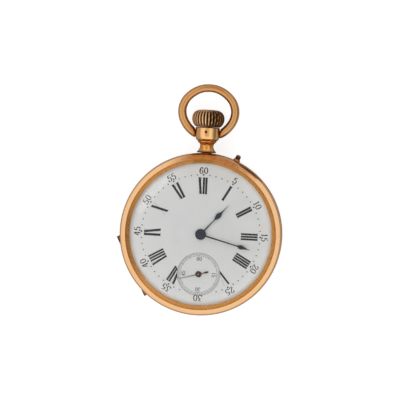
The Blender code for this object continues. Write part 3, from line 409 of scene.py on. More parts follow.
# ================================================================ mesh helpers
def fillet(points, step=14.0):
    """Rounds the corners of a closed outline of (x, y, radius) points."""
    out = []
    n = len(points)
    for i in range(n):
        x, y = points[i][:2]
        rad = points[i][2] if len(points[i]) > 2 else 0.0
        if rad <= 0:
            out.append((x, y))
            continue
        p = Vector((x, y))
        a = Vector(points[i - 1][:2]) - p
        b = Vector(points[(i + 1) % n][:2]) - p
        la, lb = a.length, b.length
        a.normalize()
        b.normalize()
        cosv = max(-1.0, min(1.0, a.dot(b)))
        inner = math.acos(cosv)
        turn = PI - inner
        if turn < 0.02:
            out.append((x, y))
            continue
        cut = min(rad * math.tan(turn / 2), 0.47 * la, 0.47 * lb)
        rad = cut / math.tan(turn / 2)
        centre = p + (a + b).normalized() * (rad / math.sin(inner / 2))
        s, e = p + a * cut - centre, p + b * cut - centre
        a0 = math.atan2(s.y, s.x)
        d = math.atan2(e.y, e.x) - a0
        d = (d + PI) % (2 * PI) - PI
        k = max(2, int(math.degrees(turn) / step) + 1)
        out += [(centre.x + rad * math.cos(a0 + d * j / k), centre.y + rad * math.sin(a0 + d * j / k)) for j in range(k + 1)]
    return out


def spline(points, n=6, closed=False):
    """Smooth curve through 2-D points."""
    out = []
    m = len(points)
    for i in range(m if closed else m - 1):
        p0 = Vector(points[(i - 1) % m] if closed or i > 0 else points[0])
        p1 = Vector(points[i])
        p2 = Vector(points[(i + 1) % m])
        p3 = Vector(points[(i + 2) % m] if closed or i + 2 < m else points[-1])
        for k in range(n):
            t = k / n
            out.append(tuple(0.5 * ((2 * p1) + (p2 - p0) * t + (2 * p0 - 5 * p1 + 4 * p2 - p3) * t * t
                                    + (3 * p1 - p0 - 3 * p2 + p3) * t ** 3)))
    if not closed:
        out.append(tuple(points[-1]))
    return out


def lathe(profile, seg=192, radius=None):
    """Solid of revolution about Z from a closed loop of (r, z) points; points on the axis join.
    radius(angle, r, z) may change the radius."""
    bm = bmesh.new()
    rows = []
    for r, z in profile:
        if r < 1e-6:
            v = bm.verts.new((0, 0, z))
            rows.append([v] * seg)
        else:
            row = []
            for k in range(seg):
                a = 2 * PI * k / seg
                q = radius(a, r, z) if radius else r
                row.append(bm.verts.new((q * math.cos(a), q * math.sin(a), z)))
            rows.append(row)
    m = len(rows)
    on_axis = [profile[i][0] < 1e-6 for i in range(m)]
    for i in range(m):
        j = (i + 1) % m
        if on_axis[i] and on_axis[j]:
            continue
        for k in range(seg):
            k2 = (k + 1) % seg
            ring = []
            for v in (rows[i][k], rows[i][k2], rows[j][k2], rows[j][k]):
                if v not in ring:
                    ring.append(v)
            bm.faces.new(ring)
    return bm


def plate(outline, holes=(), z0=0.0, z1=1.0):
    """Flat plate from a fine outline with holes."""
    bm = bmesh.new()

    def ring(points):
        vs = [bm.verts.new((x, y, z0)) for x, y in points]
        return [bm.edges.new((vs[i], vs[(i + 1) % len(vs)])) for i in range(len(vs))]

    edges = ring(outline)
    for h in holes:
        edges += ring(h)
    bmesh.ops.triangle_fill(bm, use_beauty=True, use_dissolve=False, edges=edges, normal=(0, 0, 1))
    bmesh.ops.dissolve_limit(bm, angle_limit=0.001, verts=bm.verts[:], edges=bm.edges[:], use_dissolve_boundaries=False)
    top = bmesh.ops.extrude_face_region(bm, geom=bm.faces[:])["geom"]
    bmesh.ops.translate(bm, verts=[g for g in top if isinstance(g, bmesh.types.BMVert)], vec=(0, 0, z1 - z0))
    return bm


def circle(cx, cy, r, n=64, start=0.0):
    return [(cx + r * math.cos(start + 2 * PI * i / n), cy + r * math.sin(start + 2 * PI * i / n)) for i in range(n)]


def arc(cx, cy, r, a0, a1, n):
    return [(cx + r * math.cos(math.radians(a0 + (a1 - a0) * i / n)),
             cy + r * math.sin(math.radians(a0 + (a1 - a0) * i / n))) for i in range(n + 1)]


def turn_to(bm, axis):
    if axis == "Y":
        bmesh.ops.rotate(bm, verts=bm.verts[:], cent=(0, 0, 0), matrix=Matrix.Rotation(-PI / 2, 3, "X"))
    if axis == "X":
        bmesh.ops.rotate(bm, verts=bm.verts[:], cent=(0, 0, 0), matrix=Matrix.Rotation(PI / 2, 3, "Y"))
    return bm


def moved(bm, vec):
    bmesh.ops.translate(bm, verts=bm.verts[:], vec=vec)
    return bm


HN = Vector((*clock(HINGE_ANG, 1.0), 0.0))
HT = Vector((-HN.y, HN.x, 0.0))


def on_hinge(bm):
    m = Matrix(((HN.x, 0, HT.x, 0), (HN.y, 0, HT.y, 0), (0, 1, 0, 0), (0, 0, 0, 1)))
    bmesh.ops.transform(bm, verts=bm.verts[:], matrix=m)
    return bm


def hinge_tube(t0, t1, r, n=40, edge=0.05):
    """Short tube along the hinge with softened ends."""
    bm = lathe([(0, t0), (r - edge, t0), (r, t0 + edge), (r, t1 - edge), (r - edge, t1), (0, t1)], n)
    moved(bm, (HINGE_R, HINGE_Z, 0))
    return on_hinge(bm)


def radial(bm, angle, z):
    bmesh.ops.rotate(bm, verts=bm.verts[:], cent=(0, 0, 0), matrix=Matrix.Rotation(-PI / 2, 3, "X"))
    bmesh.ops.rotate(bm, verts=bm.verts[:], cent=(0, 0, 0), matrix=Matrix.Rotation(-math.radians(angle), 3, "Z"))
    return moved(bm, (0, 0, z))


def to_object(name, bm, mat):
    bmesh.ops.recalc_face_normals(bm, faces=bm.faces[:])
    me = bpy.data.meshes.new(name)
    bm.to_mesh(me)
    bm.free()
    me.transform(Matrix.Scale(MM, 4))
    ob = bpy.data.objects.new(name, me)
    ROOM.objects.link(ob)
    if mat:
        me.materials.append(mat)
    return ob


def settle(ob, sharp=34.0):
    """Applies the modifiers, cleans the mesh and shades it."""
    bpy.context.view_layer.update()
    dg = bpy.context.evaluated_depsgraph_get()
    me = bpy.data.meshes.new_from_object(ob.evaluated_get(dg))
    old = ob.data
    ob.modifiers.clear()
    ob.data = me
    if old.users == 0:
        bpy.data.meshes.remove(old)
    me.shade_smooth()
    me.set_sharp_from_angle(angle=math.radians(sharp))
    return ob


def boolean(ob, parts, op):
    """Cuts away or adds closed shapes, then drops them."""
    tools = []
    for bm in parts:
        c = to_object("tool", bm, ob.data.materials[0])
        m = ob.modifiers.new(op, "BOOLEAN")
        m.operation = op
        m.solver = "EXACT"
        m.object = c
        tools.append(c)
    settle(ob)
    for c in tools:
        me = c.data
        bpy.data.objects.remove(c, do_unlink=True)
        bpy.data.meshes.remove(me)
    return ob


def soften(ob, width, segments=2, angle=35.0):
    m = ob.modifiers.new("soft_edges", "BEVEL")
    m.width = width * MM
    m.segments = segments
    m.limit_method = "ANGLE"
    m.angle_limit = math.radians(angle)
    m.use_clamp_overlap = True
    m.harden_normals = False
    return ob


def shade_and_dirt(ob, f):
    """Writes the per-vertex darkening attribute, 0 clean to 1 dark, from a function of a point in millimetres; the
    darkening is mostly painted shade, with some dirt.
    """
    me = ob.data
    a = me.attributes.get("shade_and_dirt") or me.attributes.new("shade_and_dirt", "FLOAT", "POINT")
    a.data.foreach_set("value", [max(0.0, min(1.0, f(v.co.x * 1000, v.co.y * 1000, v.co.z * 1000))) for v in me.vertices])
    return ob


def finish(ob, body, replaces=(), sharp=34.0, settle_now=True):
    if settle_now:
        settle(ob, sharp)
    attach(ob, body)
    if replaces:
        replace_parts(ob, *replaces)
    return ob


def ramp(v, a, b):
    """0 at a to 1 at b, smooth."""
    t = max(0.0, min(1.0, (v - a) / (b - a)))
    return t * t * (3 - 2 * t)


# ================================================================ case
def build_case():
    ob = to_object("case_band", lathe(fillet([
        (19.8, 3.35, .04), (20.7, 3.35, .04), (20.7, 3.0, .04), (22.25, 3.0, .12), (22.72, 3.7, .5), (22.92, 4.6, .9), (22.95, 6.6, 1.2),
        (22.66, 7.9, .6), (22.3, 8.6, .12), (21.2, 8.6, .04), (21.2, 9.05, .05), (20.6, 9.05, .05), (20.6, 8.22, .04), (19.8, 8.22, .04)]), 224), M_GOLD)
    slot = on_hinge(plate([(20.5, 2.0), (24.5, 2.0), (24.5, 3.65), (20.5, 3.65)], (), -5.95, 5.95))
    boolean(ob, [slot], "DIFFERENCE")
    ear = fillet([(20.7, 2.9), (20.88, 2.48, .1), (21.3, 2.3, .25), (21.9, 2.4, .2), (22.5, 2.7, .2), (22.8, 3.05, .2), (22.5, 3.38, .2), (21.9, 3.5, .2), (21.3, 3.5, .25), (20.88, 3.32, .1)])
    boolean(ob, [on_hinge(plate(ear, (), -9.4, -6.0)), on_hinge(plate(ear, (), 6.0, 9.4))], "UNION")
    stem = turn_to(lathe([(0, 18.5), (1.56, 18.5), (1.56, 24.5), (0, 24.5)], 48), "Y")
    push = radial(lathe([(0, 18.0), (1.03, 18.0), (1.03, 25.0), (0, 25.0)], 40), PUSH_ANG, Z_STEM)
    boolean(ob, [hinge_tube(-10.5, 10.5, 0.3, 24, 0.0), moved(stem, (0, 0, Z_STEM)), push], "DIFFERENCE")

    # painted shade: darker under the bezel, at the joint with the back, round the pendant neck, the push piece and the
    # hinge ears, and a dark band on the case side from 13 to 58 degrees
    def shade_and_grime(x, y, z):
        r = math.hypot(x, y)
        top = ramp(z, 8.05, 8.6) * (0.9 if r > 21 else 1.0)
        joint_shade = 1 - ramp(z, 3.0, 3.5)
        neck_shade = 1 - ramp(math.hypot(x, z - 5), 1.9, 2.9) if y > 18 else 0
        a = math.radians(PUSH_ANG)
        side = math.hypot(x * math.cos(a) - y * math.sin(a), z - 5)
        push = (1 - ramp(side, 1.0, 1.6)) if (x * math.sin(a) + y * math.cos(a)) > 18 else 0
        n, t = x * HN.x + y * HN.y, x * HT.x + y * HT.y
        h = 1.0 if abs(t) < 9.6 and n > 20.6 and z < 3.9 else (1 - ramp(z, 3.9, 5.4)) * (1 - ramp(abs(t), 9.5, 11.5)) if n > 18 else 0
        ang = math.degrees(math.atan2(x, y))
        # painted shade: a dark band on the upper case side over one stretch of the rim only
        side_band_shade = ramp(z, 6.3, 7.6) * (1 if 13 < ang < 58 and r > 21 else 0)
        return max(top, 0.8 * joint_shade, neck_shade, push, h, side_band_shade)
    shade_and_dirt(ob, shade_and_grime)
    finish(ob, "case", ["case_middle"], settle_now=False)

    # bezel: soft bright band, inner slope to the glass, snap lip below
    prof = [(21.3, 8.7, .03), (22.62, 8.7, .1), (22.93, 9.05, .15), (23.0, 9.45, .3), (22.97, 10.0, .4), (22.84, 10.5, .25),
            (22.55, 10.89, .25), (21.88, 11.13, 1.5), (21.33, 11.3, .06), (20.78, 10.86, .6), (20.2, 10.44, .06), (20.15, 10.32, .03), (20.72, 10.32, .02),
            (20.72, 9.6, .02), (20.15, 9.55, .03), (20.15, 9.3, .03), (20.7, 9.3, .02), (20.7, 9.12, .02), (21.3, 9.12, .02)]
    ob = to_object("bezel_ring", lathe(fillet(prof, 9.0), 288), M_GOLD)
    pry = plate([(-9, 22.28), (9, 22.28), (9, 26), (-9, 26)], (), 8.0, 12.0)
    bmesh.ops.rotate(pry, verts=pry.verts[:], cent=(0, 0, 0), matrix=Matrix.Rotation(-math.radians(PRY_ANG), 3, "Z"))
    boolean(ob, [pry], "DIFFERENCE")

    # painted shade at the joint with the case, on the outer rim and on the inner slope to the glass; the pry flat
    # darkened; a painted reflection of the pendant and crown round 12 o'clock
    def shade_and_grime(x, y, z):
        r = math.hypot(x, y)
        joint_shade = 1 - ramp(z, 8.9, 9.6)
        rim = 0.8 * ramp(r, 22.82, 22.98)
        inner = 0.46 + 0.06 * (1 - ramp(r, 20.2, 20.6)) + 0.24 * ramp(r, 20.8, 21.2) if r < 21.32 and z > 10.3 else 0
        a = math.radians(PRY_ANG)
        flat = 0.8 if x * math.sin(a) + y * math.cos(a) > 22.27 and abs(x * math.cos(a) - y * math.sin(a)) < 6.6 else 0
        ang = abs(math.degrees(math.atan2(x, y)) + 1.0)
        # painted reflection: the dark pendant and crown mirrored in the bezel round 12 o'clock
        crown_reflection = (1 - ramp(ang, 6.5, 13.0)) * (0.52 + 0.48 * ramp(r, 22.3, 22.7) if r > 21.2 else 0.7)
        return max(joint_shade * 0.95, inner, flat, rim, crown_reflection)
    shade_and_dirt(ob, shade_and_grime)
    finish(ob, "bezel_and_glass", ["bezel"], settle_now=False)

    dome = spline([(0, 12.4), (5, 12.33), (9, 12.16), (12.2, 11.9), (15, 11.56), (17.8, 11.02), (20.0, 10.28)], 5)
    under = spline([(19.55, 9.68), (17.6, 10.3), (15, 10.8), (12.2, 11.15), (9, 11.38), (5, 11.56), (0, 11.62)], 5)
    prof = [(max(r, 0.0), z) for r, z in dome] + [(20.62, 10.24), (20.65, 10.2), (20.65, 9.7), (20.6, 9.66)] + [(max(r, 0.0), z) for r, z in under]
    ob = to_object("glass_dome", lathe(prof, 224), M_GLASS)
    finish(ob, "bezel_and_glass", ["crystal"], 40)

    # back cover
    prof = [(0, 0)] + [(r, 0.0) for r in (4, 8, 11)] + spline([(12.6, 0.0), (15.0, 0.12), (18.0, .45), (20.0, 1.0), (21.4, 1.68), (22.25, 2.35)], 4) + \
        [(22.52, 2.68), (22.6, 2.82), (22.55, 2.9), (22.1, 2.9)] + spline([(22.02, 2.84), (21.0, 2.02), (18.0, 1.02), (15.2, .68), (13.0, .56)], 4) + [(8, .55), (0, .55)]
    ob = to_object("back_shell", lathe(prof, 224), M_GOLD)
    boolean(ob, [on_hinge(plate([(20.55, -1.0), (24.0, -1.0), (24.0, 4.0), (20.55, 4.0)], (), -12.0, 12.0))], "DIFFERENCE")
    lug = fillet([(19.9, 0.98), (20.6, 1.17, .2), (21.7, 2.35, .35), (21.9, 2.9), (20.72, 2.9), (20.43, 1.97), (19.9, 1.5)])
    adds = []
    for t0, t1 in ((-5.9, -2.0), (2.0, 5.9)):
        adds += [on_hinge(plate(lug, (), t0, t1)), hinge_tube(t0, t1, 0.6)]
    boolean(ob, adds, "UNION")
    boolean(ob, [hinge_tube(-10.5, 10.5, 0.3, 24, 0.0)], "DIFFERENCE")

    # painted shade round the hinge and on the rim edge under the case
    def shade_and_grime(x, y, z):
        r = math.hypot(x, y)
        n, t = x * HN.x + y * HN.y, x * HT.x + y * HT.y
        h = 1 - ramp(abs(n - HINGE_R) + abs(z - HINGE_Z) * 0.5, 0.5, 1.9) if abs(t) < 7 else 0
        return max(0.7 * ramp(z, 2.3, 2.9) * (1 if r > 21.6 else 0), h)
    shade_and_dirt(ob, shade_and_grime)
    finish(ob, "back_cover", ["back_cover"], settle_now=False)

    # cuvette
    prof = [(0, 1.15), (6, 1.18), (12, 1.27)] + spline([(17.0, 1.38), (19.2, 1.72), (20.05, 2.3), (20.3, 2.8)], 4) + [(20.26, 2.85), (19.9, 2.85)] + \
        spline([(19.86, 2.8), (19.68, 2.5), (18.95, 2.07), (17.0, 1.77)], 4) + [(12, 1.66), (6, 1.58), (0, 1.55)]
    ob = to_object("dust_cover", lathe(prof, 192), M_CUV)
    leaf = on_hinge(plate([(19.95, 2.3), (20.3, 2.32), (21.3, 2.31), (21.3, 2.85), (19.95, 2.85)], (), -1.9, 1.9))
    boolean(ob, [leaf, hinge_tube(-1.9, 1.9, 0.6)], "UNION")
    boolean(ob, [hinge_tube(-10.5, 10.5, 0.3, 24, 0.0)], "DIFFERENCE")
    # the cuvette gets darker towards its rim
    shade_and_dirt(ob, lambda x, y, z: 0.35 * ramp(math.hypot(x, y), 19.2, 20.2))
    finish(ob, "cuvette", ["cuvette"], settle_now=False)

    ob = to_object("hinge_pin", hinge_tube(-9.35, 9.35, 0.25, 28, 0.08), M_STEEL)
    finish(ob, "case", ["back_hinge_pin"])


def build_pendant():
    prof = [(.62, 20.2), (1.46, 20.2, .05), (1.46, 23.0, .02), (2.78, 23.02, .06), (2.7, 23.25, .12), (2.3, 23.72, .4), (1.98, 24.35, .5), (1.86, 25.0, .8), (2.05, 25.55, .4),
            (2.5, 25.95, .2), (2.66, 26.08, .06), (2.68, 26.3, .06), (2.6, 26.38, .03), (2.98, 26.52, .3), (3.3, 26.95, .5), (3.45, 27.7, .8), (3.465, 28.6, 1.5), (3.455, 29.6, .5), (3.42, 30.05, .2),
            (3.24, 30.24, .08), (.62, 30.22)]
    ob = to_object("pendant_head", turn_to(lathe(fillet(prof, 9.0), 96), "Y"), M_PEND)
    cuts = []
    for s in (1, -1):
        hole = turn_to(lathe([(0, 2.45), (0.68, 2.45), (0.68, 4.2), (0, 4.2)], 40), "X")
        if s < 0:
            bmesh.ops.rotate(hole, verts=hole.verts[:], cent=(0, 0, 0), matrix=Matrix.Rotation(PI, 3, "Z"))
        cuts.append(moved(hole, (0, BOW_PIVOT_Y, 0)))
    # a plain round punch dimple on the front of the head
    cuts.append(moved(lathe([(0, 3.1), (.12, 3.12), (.34, 3.3), (.46, 3.7), (0, 3.7)], 24), (-.25, 28.95, 0)))
    boolean(ob, cuts, "DIFFERENCE")
    ob.data.transform(Matrix.Translation((0, 0, Z_STEM * MM)))

    # painted shade in the bow holes, at the step, the waist and the foot, in the punch dimple and under the crown
    def shade_and_grime(x, y, z):
        side = math.hypot(y - 28.0, z - 5)
        hole = (1 - ramp(side, .75, 1.5)) if abs(x) > 2.6 else 0
        step = 1 - ramp(abs(y - 26.4), .05, .3)
        waist_shade = 0.5 * (1 - ramp(abs(y - 25.2), .7, 1.4))
        base = 1 - ramp(y, 23.3, 23.8)
        dimple = 1 - ramp(math.hypot(x + .25, y - 28.95), .25, .55) if z > 6 else 0
        return max(hole * 0.9, 0.8 * step, waist_shade, base, dimple, 0.6 * ramp(y, 30.0, 30.22))
    shade_and_dirt(ob, shade_and_grime)
    finish(ob, "case", ["pendant"], settle_now=False)


def build_bow():
    half = [(2.6, BOW_PIVOT_Y, .50, 0), (2.66, BOW_PIVOT_Y, .55, 0), (3.51, BOW_PIVOT_Y, .55, 0), (3.51, 28.24, .93, 0), (3.54, 28.26, 1.0, 3), (3.76, 28.43, 1.1, 12),
            (4.02, 28.66, 1.14, 22), (4.25, 28.86, 1.17, 31)]
    m = len(BOW_HALF) - 1
    for i in range(100 + 1):
        u = i * m / 100
        k = min(int(u), m - 1)
        t = u - k
        four = BOW_HALF[max(k - 1, 0)], BOW_HALF[k], BOW_HALF[k + 1], BOW_HALF[min(k + 2, m)]
        half.append(tuple(0.5 * (2 * b + (c - a) * t + (2 * a - 5 * b + 4 * c - d) * t * t + (3 * b - a - 3 * c + d) * t ** 3)
                          for a, b, c, d in zip(*four)))
    path = half + [(-x, y, r, 360 - h) for x, y, r, h in reversed(half[:-1])]
    sides = 32
    bm = bmesh.new()
    rows = []
    for x, y, r, heading in path:
        a = math.radians(heading)
        side = Vector((-math.sin(a), math.cos(a), 0))
        rows.append([bm.verts.new(Vector((x, y, Z_STEM)) + side * r * math.cos(2 * PI * k / sides)
                                  + Vector((0, 0, 1)) * r * math.sin(2 * PI * k / sides)) for k in range(sides)])
    for a, b in zip(rows, rows[1:]):
        for k in range(sides):
            bm.faces.new((a[k], a[(k + 1) % sides], b[(k + 1) % sides], b[k]))
    bm.faces.new(rows[0])
    bm.faces.new(rows[-1])
    ob = to_object("bow_loop", bm, M_BOW)
    settle(ob, 50)

    # painted shade where the wire ends go into the pendant and along the wire's flanks
    def shade_and_grime(x, y, z):
        flank_shade = 0.3 * (1 - ramp(abs(z - Z_STEM), 0.15, 0.95))
        return max((1 - ramp(abs(x) + 0.35 * (30.3 - y), 3.95, 5.3)) if y < 30.8 else 0, flank_shade)
    shade_and_dirt(ob, shade_and_grime)
    finish(ob, "bow", ["bow"], settle_now=False)


def build_crown():
    """Fluted winding crown: rounded ribs between sharp grooves."""
    flutes = 30
    outer = spline([(1.6, 35.2), (2.7, 35.08), (3.35, 34.86), (4.02, 34.38), (4.46, 33.6), (4.6, 32.8), (4.52, 31.95), (4.25, 31.25), (3.85, 30.7), (3.45, 30.36)], 4)
    prof = [(0, 35.24), (0.8, 35.23)] + outer + [(3.1, 30.34), (2.0, 30.34), (.58, 30.34), (.58, 33.0), (0, 33.0)]

    def flute(a, r, z):
        depth = 0.40 * ramp(z, 30.36, 30.9) * (1 - ramp(z, 34.35, 35.05)) if r > 2.8 else 0
        return r - depth * (1 - abs(math.cos(flutes * a / 2)) ** 0.75)
    bm = lathe(prof, flutes * 12, flute)
    ob = to_object("winding_crown", turn_to(bm, "Y"), M_WORN)
    ob.data.transform(Matrix.Translation((0, 0, Z_STEM * MM)))
    settle(ob, 60)

    # grooves darkened, partly painted shade and partly dirt; painted shade at the foot by the pendant; the inner faces
    # a little darker
    def shade_and_grime(x, y, z):
        a = math.atan2(z - Z_STEM, x)
        r = math.hypot(x, z - Z_STEM)
        groove = 1 - abs(math.cos(flutes * a / 2)) ** 0.75
        band = ramp(y, 30.4, 31.0) * (1 - ramp(y, 34.3, 35.1))
        # painted shade: the right half of the crown is darker
        right_side_shade = 0.62 * ramp(x, -0.9, 2.2)
        return min(1.0, groove ** 0.8 * 1.7) * band + right_side_shade * (0.5 + 0.5 * math.sin(a * 7.0 + y * 2.0) ** 2) + 0.6 * (1 - ramp(y, 30.34, 30.9)) + (0.12 if r < 3 else 0)
    shade_and_dirt(ob, shade_and_grime)
    finish(ob, "crown_and_stem", ["crown"], settle_now=False)

    ob = to_object("stem_rod", turn_to(lathe(fillet([(0, 10.1), (.3, 10.1, .05), (.3, 10.8), (.5, 10.9), (.5, 32.9, .04), (0, 32.9)]), 32), "Y"), M_STEEL)
    ob.data.transform(Matrix.Translation((0, 0, Z_STEM * MM)))
    finish(ob, "crown_and_stem", ["winding_stem"])


def build_push():
    n = 18
    prof = [(0, 17.97), (.42, 17.97), (.45, 18.02), (.45, 20.3), (.88, 20.3), (.9, 20.34), (.9, 20.9), (.86, 20.95), (.72, 21.0)] + \
        [(.72, y) for y in (21.6, 22.4, 23.0, 23.3, 23.7, 24.1)] + spline([(.70, 24.28), (.62, 24.45), (.42, 24.6), (.2, 24.68), (0, 24.7)], 3)
    prof[-1] = (0, 24.7)
    bm = lathe(prof, n * 6, lambda a, r, z: r - (0.05 * (0.5 - 0.5 * math.cos(n * a)) if 22.5 < z < 24.2 and r > .6 else 0))
    ob = to_object("push_button", radial(bm, PUSH_ANG, Z_STEM), M_WORN)
    settle(ob, 45)
    a = math.radians(PUSH_ANG)
    # painted shade: darker all over, and darker still towards the end that goes into the tube
    shade_and_dirt(ob, lambda x, y, z: 0.45 + 0.5 * (1 - ramp(x * math.sin(a) + y * math.cos(a), 24.1, 24.5)))
    finish(ob, "push_piece", ["push_piece"], settle_now=False)
    ob = to_object("push_button_tube", radial(lathe(fillet([(.78, 21.1), (.97, 21.1), (.97, 23.35, .06), (.78, 23.35, .04)]), 48), PUSH_ANG, Z_STEM), M_GOLD)
    settle(ob)
    # the whole tube darkened, as painted shade inside its hole
    shade_and_dirt(ob, lambda x, y, z: 0.7)
    finish(ob, "case", ["push_piece_tube"], settle_now=False)


# ================================================================ dial
class Marks:
    """Flat painted marks, collected as thin closed prisms in one mesh."""

    def __init__(self, z, thick=0.012):
        self.bm, self.z, self.h = bmesh.new(), z, thick

    def prism(self, pts):
        z0, z1 = self.z, self.z + self.h
        lo = [self.bm.verts.new((x, y, z0)) for x, y in pts]
        hi = [self.bm.verts.new((x, y, z1)) for x, y in pts]
        self.bm.faces.new(hi)
        self.bm.faces.new(lo[::-1])
        n = len(pts)
        for i in range(n):
            self.bm.faces.new((lo[i], lo[(i + 1) % n], hi[(i + 1) % n], hi[i]))

    def ribbon(self, left, right, closed=False):
        z0, z1 = self.z, self.z + self.h
        rows = [[self.bm.verts.new((p[0], p[1], z)) for p, z in ((l, z0), (r, z0), (r, z1), (l, z1))] for l, r in zip(left, right)]
        m = len(rows)
        for i in range(m if closed else m - 1):
            a, b = rows[i], rows[(i + 1) % m]
            for k in range(4):
                self.bm.faces.new((a[k], a[(k + 1) % 4], b[(k + 1) % 4], b[k]))
        if not closed:
            self.bm.faces.new(rows[0])
            self.bm.faces.new(rows[-1])

    def ring(self, c, r0, r1, n=160):
        self.ribbon(circle(c[0], c[1], r0, n), circle(c[0], c[1], r1, n), True)


def on_dial(u, v, angle, centre=(0.0, 0.0)):
    """Point u across (clockwise) and v out from a centre, at a clock angle."""
    a = math.radians(angle + PRINT_TURN)
    return (centre[0] + v * math.sin(a) + u * math.cos(a), centre[1] + v * math.cos(a) - u * math.sin(a))


DIGITS = {  # centre lines on a body one high: (points, smooth, closed)
    "0": ([([(.29 + .24 * math.sin(2 * PI * k / 12), .5 + .475 * math.cos(2 * PI * k / 12)) for k in range(12)], True, True)], .58),
    "1": ([([(.08, .78), (.17, .86), (.24, .97)], True, False), ([(.24, .98), (.24, .02)], False, False), ([(.06, .02), (.42, .02)], False, False)], .46),
    "2": ([([(.07, .70), (.08, .86), (.26, .975), (.46, .87), (.47, .67), (.32, .42), (.12, .16), (.05, .03)], True, False),
           ([(.05, .035), (.24, .06), (.44, .02), (.54, .16)], True, False)], .58),
    "3": ([([(.07, .96), (.50, .96)], False, False), ([(.50, .95), (.36, .76), (.22, .58)], True, False),
           ([(.20, .58), (.40, .57), (.53, .34), (.42, .08), (.22, .01), (.06, .10), (.05, .22)], True, False)], .58),
    "4": ([([(.40, .98), (.22, .66), (.03, .29)], True, False), ([(.03, .28), (.57, .28)], False, False), ([(.41, .98), (.41, .02)], False, False),
           ([(.26, .02), (.56, .02)], False, False)], .60),
    "5": ([([(.14, .95), (.32, .92), (.50, .99)], True, False), ([(.14, .95), (.105, .52)], False, False),
           ([(.105, .52), (.26, .62), (.46, .52), (.52, .30), (.40, .06), (.20, .015), (.06, .10), (.05, .22)], True, False)], .58),
    "6": ([([(.48, .86), (.38, .97), (.22, .92), (.09, .66), (.06, .36), (.14, .08), (.30, .015), (.47, .13), (.52, .32), (.45, .52), (.30, .59), (.13, .50), (.07, .34)], True, False)], .58),
}
BALLS = {"2": (.09, .72), "3": (.07, .17), "5": (.07, .17), "6": (.47, .86)}


def write(marks, text, angle, r_mid, height, thick, thin, centre=(0.0, 0.0), squeeze=1.0, shift=0.0):
    """Figures with their tops outward, thick uprights and fine curves."""
    gap = 0.13
    total = sum(DIGITS[c][1] for c in text) + gap * (len(text) - 1)
    x0 = -total / 2
    for c in text:
        strokes, w = DIGITS[c]
        for pts, smooth, closed in strokes:
            line = spline(pts, 7, closed) if smooth else [tuple(Vector(pts[0]).lerp(Vector(pts[1]), k / 6)) for k in range(7)]
            m = len(line)
            left, right = [], []
            for i, (x, y) in enumerate(line):
                a = line[(i - 1) % m] if closed else line[max(i - 1, 0)]
                b = line[(i + 1) % m] if closed else line[min(i + 1, m - 1)]
                d = Vector((b[0] - a[0], b[1] - a[1]))
                d.normalize()
                half = (thin + (thick - thin) * abs(d.y) ** 1.3) / 2
                nx, ny = -d.y * half, d.x * half
                px, py = (x0 + x) * height * squeeze, (y - 0.5) * height
                left.append(on_dial(px + nx + shift, r_mid + py + ny, angle, centre))
                right.append(on_dial(px - nx + shift, r_mid + py - ny, angle, centre))
            marks.ribbon(left, right, closed)
        if c in BALLS:
            bx, by = BALLS[c]
            p = on_dial((x0 + bx) * height * squeeze + shift, r_mid + (by - .5) * height, angle, centre)
            marks.prism(circle(p[0], p[1], thick * .62, 12))
        x0 += w + gap


SUB = (0.0, -11.3)
# hour numerals: (across at top, across at foot, width) of each stroke; thin strokes are hairlines
THICK, HAIR = 0.68, 0.05
ROMAN = {
    12: [(-1.09, -.58, THICK), (.17, .19, .60), (.89, .90, .60), (-.50, -1.12, HAIR)],
    1: [(-.08, -.06, THICK)],
    2: [(-.37, -.35, .62), (.37, .36, .62)],
    3: [(-.71, -.70, .55), (0, .01, .55), (.72, .71, .55)],
    4: [(-1.03, -1.0, .54), (-.35, -.33, .54), (.34, .35, .54), (1.02, 1.02, .54)],
    5: [(-.72, .15, .54), (.68, .26, HAIR)],
    7: [(-1.02, -.30, THICK), (-.27, -.32, HAIR), (.30, .37, .55), (1.03, .98, .55)],
    8: [(-1.49, -1.01, .54), (-.92, -.95, HAIR), (-.33, -.31, .52), (.39, .40, .52), (1.12, 1.12, .52)],
    9: [(-.74, -.76, THICK), (.03, .71, THICK), (.74, 0.0, HAIR)],
    10: [(-.84, .44, THICK), (.50, -.84, HAIR)],
    11: [(-.72, -.13, THICK), (-.06, -.78, HAIR), (.68, .65, THICK)],
}
V_TOP, V_FOOT = 16.05, 11.38


def roman(marks, hour):
    for top, foot, w in ROMAN[hour]:
        edges = []
        for s in (-1, 1):
            a, b = (top + s * w / 2, V_TOP), (foot + s * w * .48, V_FOOT)
            end = 1.0
            for k in range(201):  # stop at the edge of the seconds dial
                t = k / 200
                p = on_dial(a[0] + (b[0] - a[0]) * t, a[1] + (b[1] - a[1]) * t, 30 * hour)
                if math.hypot(p[0] - SUB[0], p[1] - SUB[1]) < 6.06:
                    end = t
                    break
            edges.append((a, (a[0] + (b[0] - a[0]) * end, a[1] + (b[1] - a[1]) * end), end))
        (a, b, e0), (c, d, e1) = edges
        marks.prism([on_dial(*p, 30 * hour) for p in (a, b, d, c)])
        if w > 0.2:  # hairline serifs, as wide as the stroke and a little more
            for u, v, ok in ((top, V_TOP, True), (foot, V_FOOT, e0 == 1.0 and e1 == 1.0)):
                if ok:
                    h = w / 2 + .16
                    marks.prism([on_dial(u + x, v + y, 30 * hour) for x, y in ((-h, -.025), (h, -.025), (h, .025), (-h, .025))])


